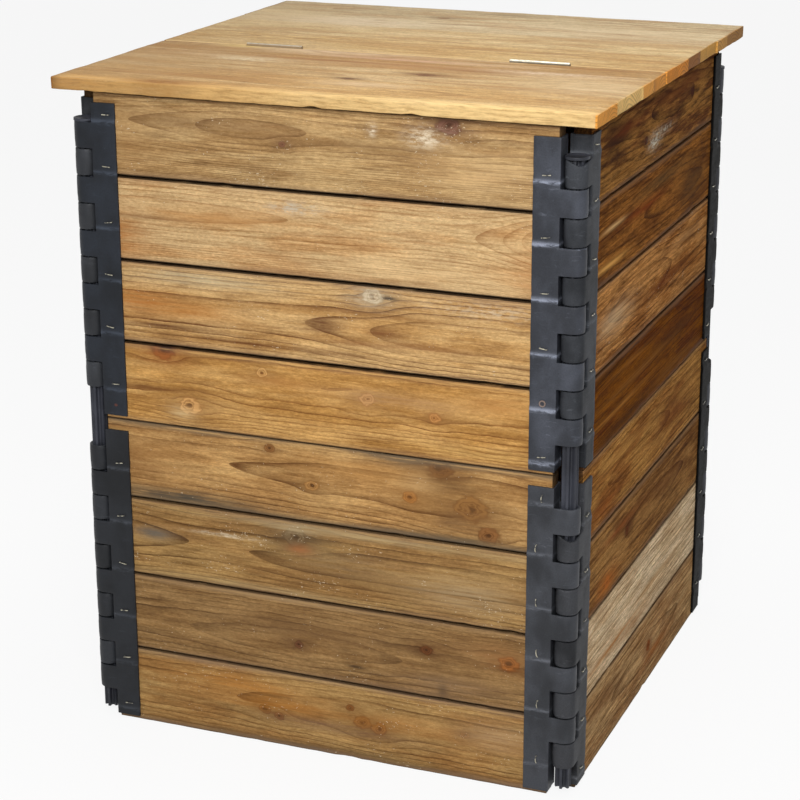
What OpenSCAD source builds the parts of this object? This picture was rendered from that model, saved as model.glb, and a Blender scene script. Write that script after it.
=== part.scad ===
// Wooden composter: two tiers of board panels, joined at the corners by strips and rods, under a folding lid.
// Millimetres. +Z is up and the front faces -Y. The origin is on the ground, under the middle of the lid.

/* [Boards] */
// Height of one board
board_w = 98; // [80:1:120]
// Thickness of a board
board_t = 20; // [16:1:26]
// Gap between two boards of one panel
board_gap = 2.5; // [1:0.5:6]
// Rounding of the long edges of a board
board_edge = 1.5; // [0.5:0.5:3]
// Boards in one panel
boards = 4; // [2:1:4]

/* [Bin] */
// Distance between the rods of two neighbouring corners
rod_span = 600; // [400:10:900]

/* [Corner strips] */
// Thickness of the plastic in the flanges and loops
strip_t = 3; // [2:0.25:5]
// Width of the flanges that grip the boards
flange_w = 31; // [20:1:50]
// Thickness of the web that covers the ends of the boards
web_t = 2.2; // [1.5:0.1:4]
// Bare board below a strip
strip_foot = 5; // [2:1:20]
// Bare board above a strip
strip_head = 14; // [2:1:30]
// Loop places along one strip, shared with the strip round the corner
loop_places = 10; // [6:2:14]
// From the end of a panel to its first loop place
loop_margin = 37; // [34:1:60]
// Gap between a loop and the loop above it
loop_gap = 1.6; // [0.6:0.1:3]
// Gap between a loop and the web of the strip round the corner
slot_gap = 1.5; // [1.4:0.1:4]

/* [Staples] */
// Length of the crown of a staple
staple_w = 10; // [6:0.5:16]
// Width of the wire
wire_w = 1.2; // [0.8:0.1:2]
// Thickness of the wire
wire_t = 0.9; // [0.5:0.1:1.5]
// Length of a leg below the crown
leg_len = 12; // [8:1:16]
// From a rod to the middle of a staple
staple_in = 30; // [24:1:36]
// Radius of the head of the one nail
nail_head_r = 4; // [2:0.5:6]
// Radius of the nail below its head
nail_r = 1.2; // [0.8:0.1:1.8]

/* [Rods] */
// Gap between a rod and a loop
rod_gap = 0.3; // [0.2:0.05:0.6]
// Ridges round a rod
ridges = 6; // [4:1:8]
// Width of a ridge
ridge_w = 3; // [2:0.25:4]
// Radius of the core between the ridges
core_r = 5; // [4:0.25:6.5]
// From the ground to the foot of a rod
rod_foot = 10; // [2:1:20]
// Thickness of the head of a rod
head_t = 3.5; // [2:0.5:8]
// Gap between the head of a rod and the webs beside it
head_gap = 0.7; // [0.4:0.1:1]

/* [Lid] */
// Width of the lid, side to side
lid_w = 660; // [640:5:1000]
// Depth of the lid, front to back
lid_d = 660; // [640:5:1000]
// Depth of the front half, which folds back
lid_front_d = 280; // [200:5:330]
// Thickness of the lid
lid_t = 16; // [14:0.5:24]
// Rounding of the edges of the lid
lid_edge = 2.5; // [1:0.5:4]
// Gap between the halves
lid_gap = 2; // [1.8:0.1:3]
// How far the middle of the lid sits behind the middle of the bin
lid_back = 4; // [0:1:15]

/* [Lid hinges] */
// Length of a hinge
hinge_len = 75; // [50:1:120]
// From the middle of the lid to the middle of a hinge
hinge_in = 173; // [100:1:230]
// Radius of the barrel
barrel_r = 2.75; // [2.25:0.25:4]
// Height of the barrel's axis above the lid
barrel_rise = 0.5; // [0.25:0.25:2]
// Thickness of a leaf
leaf_t = 1.2; // [1:0.1:1.6]
// Height of a leaf below the barrel
leaf_h = 9; // [7:0.5:9]
// Radius of the hinge pin
pin_r = 1.2; // [0.8:0.1:1.4]
// Gap round a moving part of the hinge
hinge_gap = 0.3; // [0.2:0.05:0.5]
// Gap between the pin and the barrel
pin_gap = 0.1; // [0.05:0.01:0.15]
// Radius of a screw's shank
screw_r = 1.4; // [1:0.1:1.8]
// Length of a screw below its head
screw_len = 18; // [10:1:30]
// Radius of a screw's head
screw_head_r = 2.6; // [2:0.1:3]
// Thickness of a screw's head
screw_head_t = 0.6; // [0.4:0.1:0.7]
// Distance between the screws of a leaf
screw_pitch = 26; // [14:1:30]

/* [Hidden] */
$fn = 48;
SIDES = ["front", "right", "back", "left"];
TIERS = ["lower", "upper"];
ENDS = ["left", "right"];
HALVES = ["front", "rear"];
LOWER = 0;
UPPER = 1;
LEFT = 0;
RIGHT = 1;
FRONT = 0;
REAR = 1;

board_pitch = board_w + board_gap;
tier_h = boards * board_pitch - board_gap;
bin_h = 2 * tier_h;
loop_r = board_t / 2 + strip_t;
web_out = loop_r + slot_gap;
board_end = web_out + web_t;
board_len = rod_span - 2 * board_end;
loop_pitch = (tier_h - 2 * loop_margin) / loop_places;
loop_h = loop_pitch - loop_gap;
rod_r = board_t / 2 - rod_gap;
rod_top = bin_h - loop_margin - loop_gap / 2;
head_r = web_out - head_gap;
leg_gap = 0.05;
lid_top = bin_h + lid_t;
split_y = lid_front_d - lid_d / 2;
barrel_z = lid_top + barrel_rise;
knuckles = 5;
knuckle_pitch = hinge_len / knuckles;
leaf_top = barrel_z - barrel_r - hinge_gap;
screw_z = leaf_top - leaf_h / 2;
screw_places = [-screw_pitch, 0, screw_pitch];
cut = 1;

// Where the staples of a strip sit on boards 1 to 4, as shares of the height that it covers of each board:
// for a strip with its loops at even places, and for one at odd places, which is the same strip turned over
staple_shares = [
  [[0.18, 0.86], [0.49], [0.11, 0.75], [0.5]],
  [[0.43], [0.16, 0.82], [0.44], [0.11, 0.84]]
];

board_tones = [
  [0.66, 0.47, 0.24], [0.55, 0.39, 0.20], [0.61, 0.45, 0.24], [0.64, 0.47, 0.25],
  [0.80, 0.58, 0.27], [0.76, 0.54, 0.25], [0.75, 0.55, 0.28], [0.62, 0.48, 0.30]
];
plastic_tone = [0.24, 0.25, 0.28];
rod_tone = [0.20, 0.21, 0.24];
wire_tone = [0.80, 0.74, 0.55];
lid_tone = [0.84, 0.68, 0.43];
steel_tone = [0.80, 0.80, 0.82];

function board_name(side, tier, b) = str(SIDES[side], "_", TIERS[tier], "_board_", b + 1);
function strip_name(side, tier, end) = str(SIDES[side], "_", TIERS[tier], "_strip_", ENDS[end]);
function staples_name(side) = str(SIDES[side], "_staples");
function rods_name(half) = half == FRONT ? "front_rods" : "back_rods";
function lid_name(half) = str("lid_", HALVES[half], "_half");
function leaves_name(half) = str("hinge_", HALVES[half], "_leaves");
function screws_name(half) = str("hinge_", HALVES[half], "_screws");

// A strip has its loops at every second place: even places at the right end of an upper panel,
// odd places at its left end, and the other way round on the lower tier, whose panels are turned over.
function first_loop_place(tier, end) = (tier + end) % 2;
function loop_places_of(tier, end) = [for (i = [first_loop_place(tier, end) : 2 : loop_places - 1]) i];

// Foot and top of what a strip covers of board b
function covered_foot(b) = max(b * board_pitch, strip_foot);
function covered_top(b) = min(b * board_pitch + board_w, tier_h - strip_head);

// Heights of a strip's staples on board b
function staple_heights(tier, end, b) =
  [for (share = staple_shares[first_loop_place(tier, end)][b])
    covered_foot(b) + share * (covered_top(b) - covered_foot(b))];

// The staples of the front's lower right strip stand upright.
function is_upright(side, tier, end) = side == 0 && tier == LOWER && end == RIGHT;

// On the strip above it, a nail holds the lowest board in place of the upper staple.
function is_nail(side, tier, end, b, n) = side == 0 && tier == UPPER && end == RIGHT && b == 0 && n == 1;

// Puts a front panel's piece on the given side and tier of the bin.
module on_side(side, tier = LOWER) {
  translate([0, -lid_back, tier * tier_h])
    rotate(90 * side)
      translate([0, -rod_span / 2, 0])
        children();
}

// Puts a right end's piece, drawn round its rod's axis, on either end of a front panel.
module on_end(end) {
  mirror([end == LEFT ? 1 : 0, 0, 0])
    translate([rod_span / 2, 0, 0])
      children();
}

module rounded_rectangle(width, height, r) {
  translate([r, 0]) square([width - 2 * r, height]);
  translate([0, r]) square([width, height - 2 * r]);
  for (x = [r, width - r], y = [r, height - r]) translate([x, y]) circle(r = r);
}

// A staple on the outer flange of a front panel's strip, grown by gap for its holes
module staple(gap) {
  crown_y = -loop_r - wire_t;
  translate([-staple_w / 2 - gap, crown_y - gap, -wire_w / 2 - gap])
    cube([staple_w + 2 * gap, wire_t + gap, wire_w + 2 * gap]);
  for (x = [-staple_w / 2, staple_w / 2 - wire_t])
    translate([x - gap, crown_y, -wire_w / 2 - gap])
      cube([wire_t + 2 * gap, wire_t + leg_len + gap, wire_w + 2 * gap]);
}

// The nail, whose head is as thick as the wire, grown by gap for its hole
module nail(gap) {
  translate([0, -loop_r - wire_t, 0])
    rotate([-90, 0, 0]) {
      cylinder(r = nail_head_r + gap, h = wire_t);
      cylinder(r = nail_r + gap, h = wire_t + leg_len + gap);
    }
}

// What holds a strip to board b, at the right end of a front panel
module fasteners(side, tier, end, b, gap = 0) {
  heights = staple_heights(tier, end, b);
  for (n = [0:len(heights) - 1])
    translate([-staple_in, 0, heights[n]])
      if (is_nail(side, tier, end, b, n)) nail(gap);
      else rotate([0, is_upright(side, tier, end) ? 90 : 0, 0]) staple(gap);
}

module board(side, tier, b) {
  color(board_tones[(tier * boards + b) % len(board_tones)])
    on_side(side, tier)
      difference() {
        translate([-board_len / 2, -board_t / 2, b * board_pitch])
          rotate([90, 0, 90])
            linear_extrude(board_len)
              rounded_rectangle(board_t, board_w, board_edge);
        for (end = [LEFT, RIGHT]) on_end(end) fasteners(side, tier, end, b, leg_gap);
      }
}

// The channel that grips the board ends, seen from above, with the rod's axis at the origin
module channel_outline() {
  difference() {
    translate([-web_out - flange_w, -loop_r]) square([flange_w, 2 * loop_r]);
    translate([-web_out - flange_w - cut, -board_t / 2]) square([flange_w + cut - web_t, board_t]);
  }
}

// The band of a loop, from the web round the rod and back
module loop_outline() {
  difference() {
    union() {
      circle(r = loop_r);
      translate([-web_out, -loop_r]) square([web_out, 2 * loop_r]);
    }
    circle(r = board_t / 2);
    translate([-web_out, -board_t / 2]) square([web_out, board_t]);
  }
}

module strip(side, tier, end) {
  color(plastic_tone)
    on_side(side, tier)
      on_end(end)
        difference() {
          union() {
            translate([0, 0, strip_foot])
              linear_extrude(tier_h - strip_foot - strip_head) channel_outline();
            for (i = loop_places_of(tier, end))
              translate([0, 0, loop_margin + i * loop_pitch + loop_gap / 2])
                linear_extrude(loop_h) loop_outline();
          }
          for (b = [0:boards - 1]) fasteners(side, tier, end, b, leg_gap);
        }
}

module staples(side) {
  color(wire_tone)
    for (tier = [LOWER, UPPER], end = [LEFT, RIGHT], b = [0:boards - 1])
      on_side(side, tier) on_end(end) fasteners(side, tier, end, b);
}

module rod_outline() {
  circle(r = core_r);
  intersection() {
    circle(r = rod_r);
    for (i = [0:ridges - 1])
      rotate(i * 360 / ridges)
        translate([0, -ridge_w / 2]) square([rod_r, ridge_w]);
  }
}

// The two rods of the front or of the back, each with its head on the topmost loop
module rods(half) {
  color(rod_tone)
    on_side(half == FRONT ? 0 : 2)
      for (end = [LEFT, RIGHT])
        on_end(end) {
          translate([0, 0, rod_foot]) linear_extrude(rod_top - rod_foot) rod_outline();
          translate([0, 0, rod_top]) cylinder(r = head_r, h = head_t);
        }
}

// Puts a hinge piece, drawn along X round the barrel's axis, at both hinges.
module at_hinges() {
  for (x = [-hinge_in, hinge_in]) translate([x, split_y, 0]) children();
}

// Turns a piece that is drawn for the rear half towards the half that it belongs to.
module on_half(half) {
  mirror([0, half == FRONT ? 1 : 0, 0]) children();
}

module along_x(length) {
  rotate([0, 90, 0]) translate([0, 0, -length / 2]) children();
}

// The barrel's groove, the leaf's mortise and the screw holes in one half
module hinge_seat() {
  seat_len = hinge_len + 2 * hinge_gap;
  translate([0, 0, barrel_z])
    along_x(seat_len) cylinder(r = barrel_r + hinge_gap, h = seat_len);
  translate([-seat_len / 2, 0, leaf_top - leaf_h])
    cube([seat_len, lid_gap / 2 + leaf_t, leaf_h + barrel_r + lid_t]);
  for (x = screw_places)
    translate([x, 0, screw_z]) rotate([-90, 0, 0])
      cylinder(r = screw_r, h = lid_gap / 2 + leaf_t + screw_len);
}

module lid_half(half) {
  depth = (half == FRONT ? lid_front_d : lid_d - lid_front_d) - lid_gap / 2;
  color(lid_tone)
    difference() {
      translate([-lid_w / 2, half == FRONT ? -lid_d / 2 : lid_d / 2 - depth, bin_h])
        rotate([90, 0, 90])
          linear_extrude(lid_w) rounded_rectangle(depth, lid_t, lid_edge);
      at_hinges() on_half(half) hinge_seat();
    }
}

// Knuckles 0, 2 and 4 of a hinge belong to the rear leaf, 1 and 3 to the front leaf.
module leaf_knuckles(half) {
  length = knuckle_pitch - hinge_gap;
  for (i = [half == FRONT ? 1 : 0 : 2 : knuckles - 1])
    translate([(i - (knuckles - 1) / 2) * knuckle_pitch, 0, 0]) {
      translate([0, 0, barrel_z]) along_x(length) cylinder(r = barrel_r, h = length);
      translate([-length / 2, lid_gap / 2, leaf_top - cut])
        cube([length, leaf_t, barrel_z - leaf_top + cut]);
    }
}

module leaf(half) {
  difference() {
    union() {
      translate([-hinge_len / 2, lid_gap / 2, leaf_top - leaf_h]) cube([hinge_len, leaf_t, leaf_h]);
      leaf_knuckles(half);
    }
    translate([0, 0, barrel_z])
      along_x(hinge_len + 2 * cut) cylinder(r = pin_r + pin_gap, h = hinge_len + 2 * cut);
    for (x = screw_places)
      translate([x, 0, screw_z]) rotate([-90, 0, 0]) cylinder(r = screw_r, h = lid_gap / 2 + leaf_t + cut);
  }
}

// The leaves of one half. The rear leaves carry the pins, which are solids of their own.
module leaves(half) {
  color(steel_tone)
    at_hinges() {
      on_half(half) leaf(half);
      if (half == REAR)
        translate([0, 0, barrel_z]) along_x(hinge_len) cylinder(r = pin_r, h = hinge_len);
    }
}

module screws(half) {
  color(steel_tone)
    at_hinges() on_half(half)
      for (x = screw_places)
        translate([x, lid_gap / 2, screw_z]) rotate([-90, 0, 0]) {
          cylinder(r = screw_r, h = leaf_t + screw_len);
          translate([0, 0, -screw_head_t]) cylinder(r = screw_head_r, h = screw_head_t);
        }
}

for (side = [0:3], tier = [LOWER, UPPER], b = [0:boards - 1])
  board(side, tier, b);
for (side = [0:3], tier = [LOWER, UPPER], end = [LEFT, RIGHT])
  strip(side, tier, end);
for (side = [0:3])
  staples(side);
for (half = [FRONT, REAR])
  rods(half);
for (half = [FRONT, REAR])
  lid_half(half);
for (half = [FRONT, REAR])
  leaves(half);
for (half = [FRONT, REAR])
  screws(half);
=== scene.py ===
"""The look of the wooden composter: weathered boards, dark plastic corners, wire staples and a folding lid."""

import math
import random

import bmesh
import bpy
from mathutils import Matrix, Vector


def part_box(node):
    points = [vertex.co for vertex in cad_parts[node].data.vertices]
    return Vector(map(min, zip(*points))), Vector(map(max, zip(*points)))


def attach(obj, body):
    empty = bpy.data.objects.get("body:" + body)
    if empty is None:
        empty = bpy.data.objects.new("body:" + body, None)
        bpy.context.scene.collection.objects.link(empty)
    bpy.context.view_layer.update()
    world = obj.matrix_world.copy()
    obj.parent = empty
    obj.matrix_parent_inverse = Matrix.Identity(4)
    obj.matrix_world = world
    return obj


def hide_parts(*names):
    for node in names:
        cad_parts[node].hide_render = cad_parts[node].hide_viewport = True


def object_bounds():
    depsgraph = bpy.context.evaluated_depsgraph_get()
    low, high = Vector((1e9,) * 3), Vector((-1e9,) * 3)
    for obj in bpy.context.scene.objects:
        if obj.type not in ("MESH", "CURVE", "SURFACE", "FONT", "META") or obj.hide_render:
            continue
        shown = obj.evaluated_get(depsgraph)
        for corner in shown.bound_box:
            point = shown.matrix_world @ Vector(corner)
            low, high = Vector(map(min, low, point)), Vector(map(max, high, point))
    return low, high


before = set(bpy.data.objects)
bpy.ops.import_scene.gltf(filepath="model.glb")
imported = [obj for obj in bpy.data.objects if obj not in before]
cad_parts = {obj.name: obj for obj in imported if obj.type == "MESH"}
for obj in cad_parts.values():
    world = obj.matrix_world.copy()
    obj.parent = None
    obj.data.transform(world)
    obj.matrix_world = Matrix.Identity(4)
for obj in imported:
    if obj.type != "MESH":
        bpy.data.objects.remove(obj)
cad_low, cad_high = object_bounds()

# Names

SIDES = ("front", "right", "back", "left")
TIERS = ("lower", "upper")
ENDS = ("left", "right")
BOARDS = (1, 2, 3, 4)

# Sizes in metres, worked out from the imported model

MM = 0.001
board_low, board_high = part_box("front_lower_board_1")
BOARD_LEN, BOARD_T, BOARD_W = board_high - board_low
ROD_Y = (board_low.y + board_high.y) / 2
BOARD_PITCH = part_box("front_lower_board_2")[0].z - board_low.z
TIER_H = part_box("front_upper_board_1")[0].z
MIDDLE_Y = (board_low.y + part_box("back_lower_board_1")[1].y) / 2

strip_low, strip_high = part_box("front_lower_strip_right")
LOOP_R = (strip_high.y - strip_low.y) / 2
ROD_X = strip_high.x - LOOP_R
STRIP_T = LOOP_R - BOARD_T / 2
FREE_EDGE = strip_low.x - ROD_X

rods_low, rods_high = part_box("front_rods")
HEAD_R = rods_high.x - ROD_X

lid_low, lid_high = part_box("lid_front_half")
leaf_low, leaf_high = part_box("hinge_rear_leaves")
LID_END = lid_high.x

# Sizes that the boxes of the nodes don't give

WEB_OUT = 14.5 * MM
WEB_T = 2.2 * MM
LOOP_PLACES = 10
LOOP_MARGIN = 37 * MM
LOOP_GAP = 1.6 * MM
LOOP_PITCH = (TIER_H - 2 * LOOP_MARGIN) / LOOP_PLACES
ROD_R = BOARD_T / 2 - 0.3 * MM
ROD_CORE_R = 5 * MM
HEAD_T = 3.5 * MM
STAPLE_IN = 30 * MM
STAPLE_W = 10 * MM
WIRE_W = 1.2 * MM
WIRE_T = 0.9 * MM
LEG_LEN = 12 * MM
NAIL_HEAD_R = 4 * MM
NAIL_R = 1.2 * MM
HINGE_LEN = 75 * MM
HINGE_IN = 173 * MM
HINGE_GAP = 0.3 * MM
LEAF_T = 1.2 * MM
BARREL_R = 2.75 * MM
BARREL_Z = leaf_high.z - BARREL_R
MORTISE_ABOVE = 8 * MM
LID_GAP = 2 * MM
SPLIT_Y = lid_high.y + LID_GAP / 2

# Where the staples sit on boards 1 to 4, as shares of the height that a strip covers of each board: for a strip
# with loops at even places, and for one at odd places
STAPLE_SHARES = (((0.18, 0.86), (0.49,), (0.11, 0.75), (0.5,)), ((0.43,), (0.16, 0.82), (0.44,), (0.11, 0.84)))


def staple_heights(kind):
    """Heights of a strip's staples above the foot of its panel; kind is 0 for even loop places, 1 for odd ones."""
    heights = []
    for number, shares in enumerate(STAPLE_SHARES[kind]):
        foot = max(number * BOARD_PITCH, strip_low.z)
        top = min(number * BOARD_PITCH + BOARD_W, strip_high.z)
        heights += [foot + share * (top - foot) for share in shares]
    return heights


# The bench: picking, choosing and fastening what is made


def put_down():
    """Nothing is selected, and nothing is being edited."""
    if bpy.context.object and bpy.context.object.mode == "EDIT":
        bpy.ops.object.mode_set(mode="OBJECT")
    bpy.ops.object.select_all(action="DESELECT")


def pick_up(piece):
    """Selects one piece alone."""
    put_down()
    piece.select_set(True)
    bpy.context.view_layer.objects.active = piece
    return piece


def fix_place(piece):
    """Moves the piece's place, turn and size into its mesh."""
    pick_up(piece)
    bpy.ops.object.transform_apply(location=True, rotation=True, scale=True)
    return piece


def block(name, low, high):
    """A new block between two corners, named, with its place in its mesh."""
    put_down()
    low, high = Vector(low), Vector(high)
    bpy.ops.mesh.primitive_cube_add(size=1, location=(low + high) / 2, scale=high - low)
    piece = bpy.context.object
    piece.name = name
    return fix_place(piece)


def open_up(piece):
    """Starts editing the piece's mesh."""
    pick_up(piece)
    bpy.ops.object.mode_set(mode="EDIT")


def close_up():
    bpy.ops.object.mode_set(mode="OBJECT")


def choose(piece, kind, test):
    """While a piece is edited, selects only the vertices, edges or faces that pass the test."""
    bpy.context.tool_settings.mesh_select_mode = (kind == "verts", kind == "edges", kind == "faces")
    bpy.ops.mesh.select_all(action="DESELECT")
    mesh = bmesh.from_edit_mesh(piece.data)
    for item in getattr(mesh, kind):
        item.select_set(bool(test(item)))
    mesh.select_flush_mode()
    bmesh.update_edit_mesh(piece.data)


def cut_through(axis, place):
    """While a piece is edited, cuts all of it at a place along one axis."""
    normal = Vector([number == axis for number in range(3)])
    bpy.ops.mesh.select_all(action="SELECT")
    bpy.ops.mesh.bisect(plane_co=normal * place, plane_no=normal)


def draw_out(step):
    """While a piece is edited, draws what is chosen out by a step."""
    bpy.ops.mesh.extrude_region_move(TRANSFORM_OT_translate={"value": step})


def pull(step, reach, falloff):
    """While a piece is edited, moves what is chosen by a step, and less and less what lies within reach."""
    bpy.ops.transform.translate(
        value=step, use_proportional_edit=True, proportional_edit_falloff=falloff, proportional_size=reach
    )


def dish(rim, slope, depth):
    """While a piece is edited, sinks the chosen face inside a rim."""
    bpy.ops.mesh.inset(thickness=rim)
    bpy.ops.mesh.inset(thickness=slope, depth=-depth)


def turn_out():
    """While a piece is edited, turns all its faces outwards."""
    bpy.ops.mesh.select_all(action="SELECT")
    bpy.ops.mesh.normals_make_consistent(inside=False)


def runs_along(edge, axis):
    """True for an edge that runs along one axis, 0, 1 or 2."""
    line = (edge.verts[1].co - edge.verts[0].co).normalized()
    return abs(line[axis]) > 0.999


def slice_up(piece, axis, cuts):
    """While a piece is edited, cuts the edges that run along one axis into shorter ones."""
    choose(piece, "edges", lambda e: runs_along(e, axis))
    bpy.ops.mesh.subdivide(number_cuts=cuts)


def round_off(piece, test, radius, segments):
    """While a piece is edited, rounds the edges that pass the test."""
    choose(piece, "edges", test)
    bpy.ops.mesh.bevel(offset=radius, segments=segments, affect="EDGES")


def middle_of(edge):
    return (edge.verts[0].co + edge.verts[1].co) / 2


def close_to(value, place):
    """True within a tenth of a millimetre."""
    return abs(value - place) < MM / 10


def round_end(edge, end, turn):
    """True for an edge round the end of a board, where the faces' normals differ along X by more than turn."""
    if len(edge.link_faces) != 2 or not close_to(abs(middle_of(edge).x), end):
        return False
    first, second = edge.link_faces
    return abs(first.normal.x - second.normal.x) > turn


def finish_with(piece, kind, **settings):
    """Adds one modifier, sets it and applies it."""
    pick_up(piece)
    modifier = piece.modifiers.new(kind.title(), kind)
    for setting, value in settings.items():
        setattr(modifier, setting, value)
    bpy.ops.object.modifier_apply(modifier=modifier.name)


def ease(piece, width, segments=2, degrees=50):
    """Rounds the edges that are sharper than an angle."""
    angle = math.radians(degrees)
    finish_with(piece, "BEVEL", width=width, segments=segments, limit_method="ANGLE", angle_limit=angle)


def wear(piece, pattern, depth, group):
    """Takes a group of vertices in, as far as the pattern says."""
    finish_with(
        piece, "DISPLACE", texture=pattern, strength=depth, mid_level=1.0, vertex_group=group, texture_coords="LOCAL"
    )


def smooth(piece):
    pick_up(piece)
    bpy.ops.object.shade_smooth_by_angle(angle=math.radians(40))


def dress(piece, material):
    """Gives the whole piece one material."""
    piece.data.materials.clear()
    piece.data.materials.append(material)


def copy_of(piece, name, place):
    """A copy with its own mesh, moved by the matrix place; a mirrored one gets its faces turned back."""
    twin = piece.copy()
    twin.data = piece.data.copy()
    twin.name = name
    bpy.context.scene.collection.objects.link(twin)
    twin.data.transform(place)
    if place.determinant() < 0:
        twin.data.flip_normals()
    return twin


def throw_away(piece):
    bpy.data.objects.remove(piece, do_unlink=True)


def joined(pieces, name):
    """Several pieces made one."""
    put_down()
    for piece in pieces:
        piece.select_set(True)
    bpy.context.view_layer.objects.active = pieces[0]
    bpy.ops.object.join()
    pieces[0].name = name
    return pieces[0]


def cloud(name, size, depth=2, stops=None):
    """A cloud pattern for the Displace modifier, with an optional ramp that sharpens it."""
    pattern = bpy.data.textures.new(name, "CLOUDS")
    pattern.noise_scale = size
    pattern.noise_depth = depth
    if stops:
        pattern.use_color_ramp = True
        pattern.color_ramp.elements[0].position = stops[0]
        pattern.color_ramp.elements[0].color = (1, 1, 1, 1)
        pattern.color_ramp.elements[1].position = stops[1]
        pattern.color_ramp.elements[1].color = (0, 0, 0, 1)
    return pattern


def group_of(piece, name, weight):
    """A vertex group whose weights come from each vertex's place."""
    group = piece.vertex_groups.new(name=name)
    for vertex in piece.data.vertices:
        share = weight(vertex.co)
        if share > 0:
            group.add([vertex.index], share, "REPLACE")
    return group


def at_side(side, tier=0):
    """The move that puts a front panel's piece, drawn round x = 0, y = 0 and z = 0, on a side and tier."""
    return (
        Matrix.Translation((0, MIDDLE_Y, tier * TIER_H))
        @ Matrix.Rotation(math.radians(90 * side), 4, "Z")
        @ Matrix.Translation((0, ROD_Y - MIDDLE_Y, 0))
    )


def at_end(end):
    """The move that puts a right end's piece, drawn round its rod, on the left or right end."""
    mirror = Matrix.Scale(-1, 4, (1, 0, 0)) if end == 0 else Matrix.Identity(4)
    return mirror @ Matrix.Translation((ROD_X, 0, 0))


# Finishes. Their places and sizes are in millimetres.


def paint(red, green, blue):
    """A colour from its 0 to 255 values, as a linear colour."""
    channels = [value / 255 for value in (red, green, blue)]
    return tuple(c / 12.92 if c <= 0.04045 else ((c + 0.055) / 1.055) ** 2.4 for c in channels) + (1.0,)


def lit(tone, share, more=0):
    """A tone made darker or paler, as a linear colour."""
    return paint(*(min(255, channel * share + more) for channel in tone))


class Wire:
    """One output in a finish. Sums on it add Math nodes."""

    def __init__(self, finish, socket):
        self.finish = finish
        self.socket = socket

    def maths(self, operation, *others):
        return self.finish.add("ShaderNodeMath", {"operation": operation}, *others)

    def __add__(self, other):
        return self.maths("ADD", self, other)

    def __radd__(self, other):
        return self.maths("ADD", other, self)

    def __sub__(self, other):
        return self.maths("SUBTRACT", self, other)

    def __rsub__(self, other):
        return self.maths("SUBTRACT", other, self)

    def __mul__(self, other):
        return self.maths("MULTIPLY", self, other)

    def __rmul__(self, other):
        return self.maths("MULTIPLY", other, self)

    def __truediv__(self, other):
        return self.maths("DIVIDE", self, other)

    def least(self, other):
        return self.maths("MINIMUM", self, other)

    def most(self, other):
        return self.maths("MAXIMUM", self, other)

    def size(self):
        """Without its sign."""
        return self.maths("ABSOLUTE", self)

    def part(self):
        """What is left after the whole number."""
        return self.maths("FRACT", self)

    def faded(self):
        """e to the power of minus this."""
        return self.maths("POWER", 1 / math.e, self)

    def between(self, low, high, start=0.0, end=1.0):
        """Smoothly from start to end while this goes from low to high."""
        return self.finish.add(
            "ShaderNodeMapRange", {"interpolation_type": "SMOOTHSTEP"}, self, low, high, start, end
        )


class Nodes:
    """The nodes of a finish or of the sky, and a seed that makes its patterns its own."""

    def __init__(self, tree, seed=0.0):
        self.nodes = tree.nodes
        self.links = tree.links
        self.seed = seed

    def feed(self, socket, value):
        """Links a wire to a socket, or sets the socket to a constant."""
        if isinstance(value, Wire):
            self.links.new(value.socket, socket)
        elif value is not None:
            socket.default_value = value

    def add(self, kind, settings=None, *values, out=0, **named):
        """Adds a node: its settings first, then the values or wires of its sockets in order or by name."""
        node = self.nodes.new(kind)
        for setting, value in (settings or {}).items():
            setattr(node, setting, value)
        for index, value in enumerate(values):
            self.feed(node.inputs[index], value)
        for socket, value in named.items():
            self.feed(node.inputs[socket.replace("_", " ")], value)
        return Wire(self, node.outputs[out])

    def ramp(self, value, stops, blend="LINEAR"):
        """A colour ramp. A stop is a place with a colour, or with a plain grey level."""
        colours = self.add("ShaderNodeValToRGB", {}, value)
        ramp = colours.socket.node.color_ramp
        ramp.interpolation = blend
        while len(ramp.elements) < len(stops):
            ramp.elements.new(1.0)
        for element, (position, colour) in zip(ramp.elements, stops):
            element.position = position
            element.color = colour if isinstance(colour, tuple) else (colour, colour, colour, 1)
        return colours

    def mix(self, share, first, second, how="MIX"):
        """A blend of two colours."""
        settings = {"data_type": "RGBA", "blend_type": how, "clamp_factor": True}
        return self.add("ShaderNodeMix", settings, share, *[None] * 5, first, second, out=2)

    def shaded(self, colour, pattern, stops, amount=1.0):
        """A colour made darker and paler by the ramp of a pattern."""
        return self.mix(amount, colour, self.ramp(pattern, stops), "MULTIPLY")

    def place(self, location=(0, 0, 0), turn=0.0, scale=1.0):
        """Where a point lies on the piece: turned about Z, scaled, then moved."""
        here = self.add("ShaderNodeTexCoord", out=3)
        return self.add("ShaderNodeMapping", {}, here, tuple(location), (0, 0, turn), (scale, scale, scale))

    def moved(self, spot, scale, shift):
        """A place scaled and then moved, each by three numbers."""
        return self.add("ShaderNodeVectorMath", {"operation": "MULTIPLY_ADD"}, spot, scale, shift)

    def noise(self, spot, sizes, detail=2.0, roughness=0.5, distortion=0.0):
        """Noise with patches of three sizes, shifted by the seed so that no two pieces are alike."""
        scale = tuple(1 / size for size in sizes)
        here = self.moved(spot, scale, (self.seed * 7.31, self.seed * 3.17, self.seed * 5.71))
        values = dict(Scale=1.0, Detail=detail, Roughness=roughness, Distortion=distortion)
        return self.add("ShaderNodeTexNoise", {"noise_dimensions": "3D"}, here, **values)

    def away(self, spot, centre, reach):
        """Distance from a centre, in shares of a reach along each axis."""
        scale = tuple(1 / r if r else 0.0 for r in reach)
        shift = tuple(-c * s for c, s in zip(centre, scale))
        return self.add("ShaderNodeVectorMath", {"operation": "LENGTH"}, self.moved(spot, scale, shift), out=1)

    def spread_out(self, spot):
        """The three numbers of a place."""
        first = self.add("ShaderNodeSeparateXYZ", {}, spot)
        return (Wire(self, socket) for socket in first.socket.node.outputs)


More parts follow.
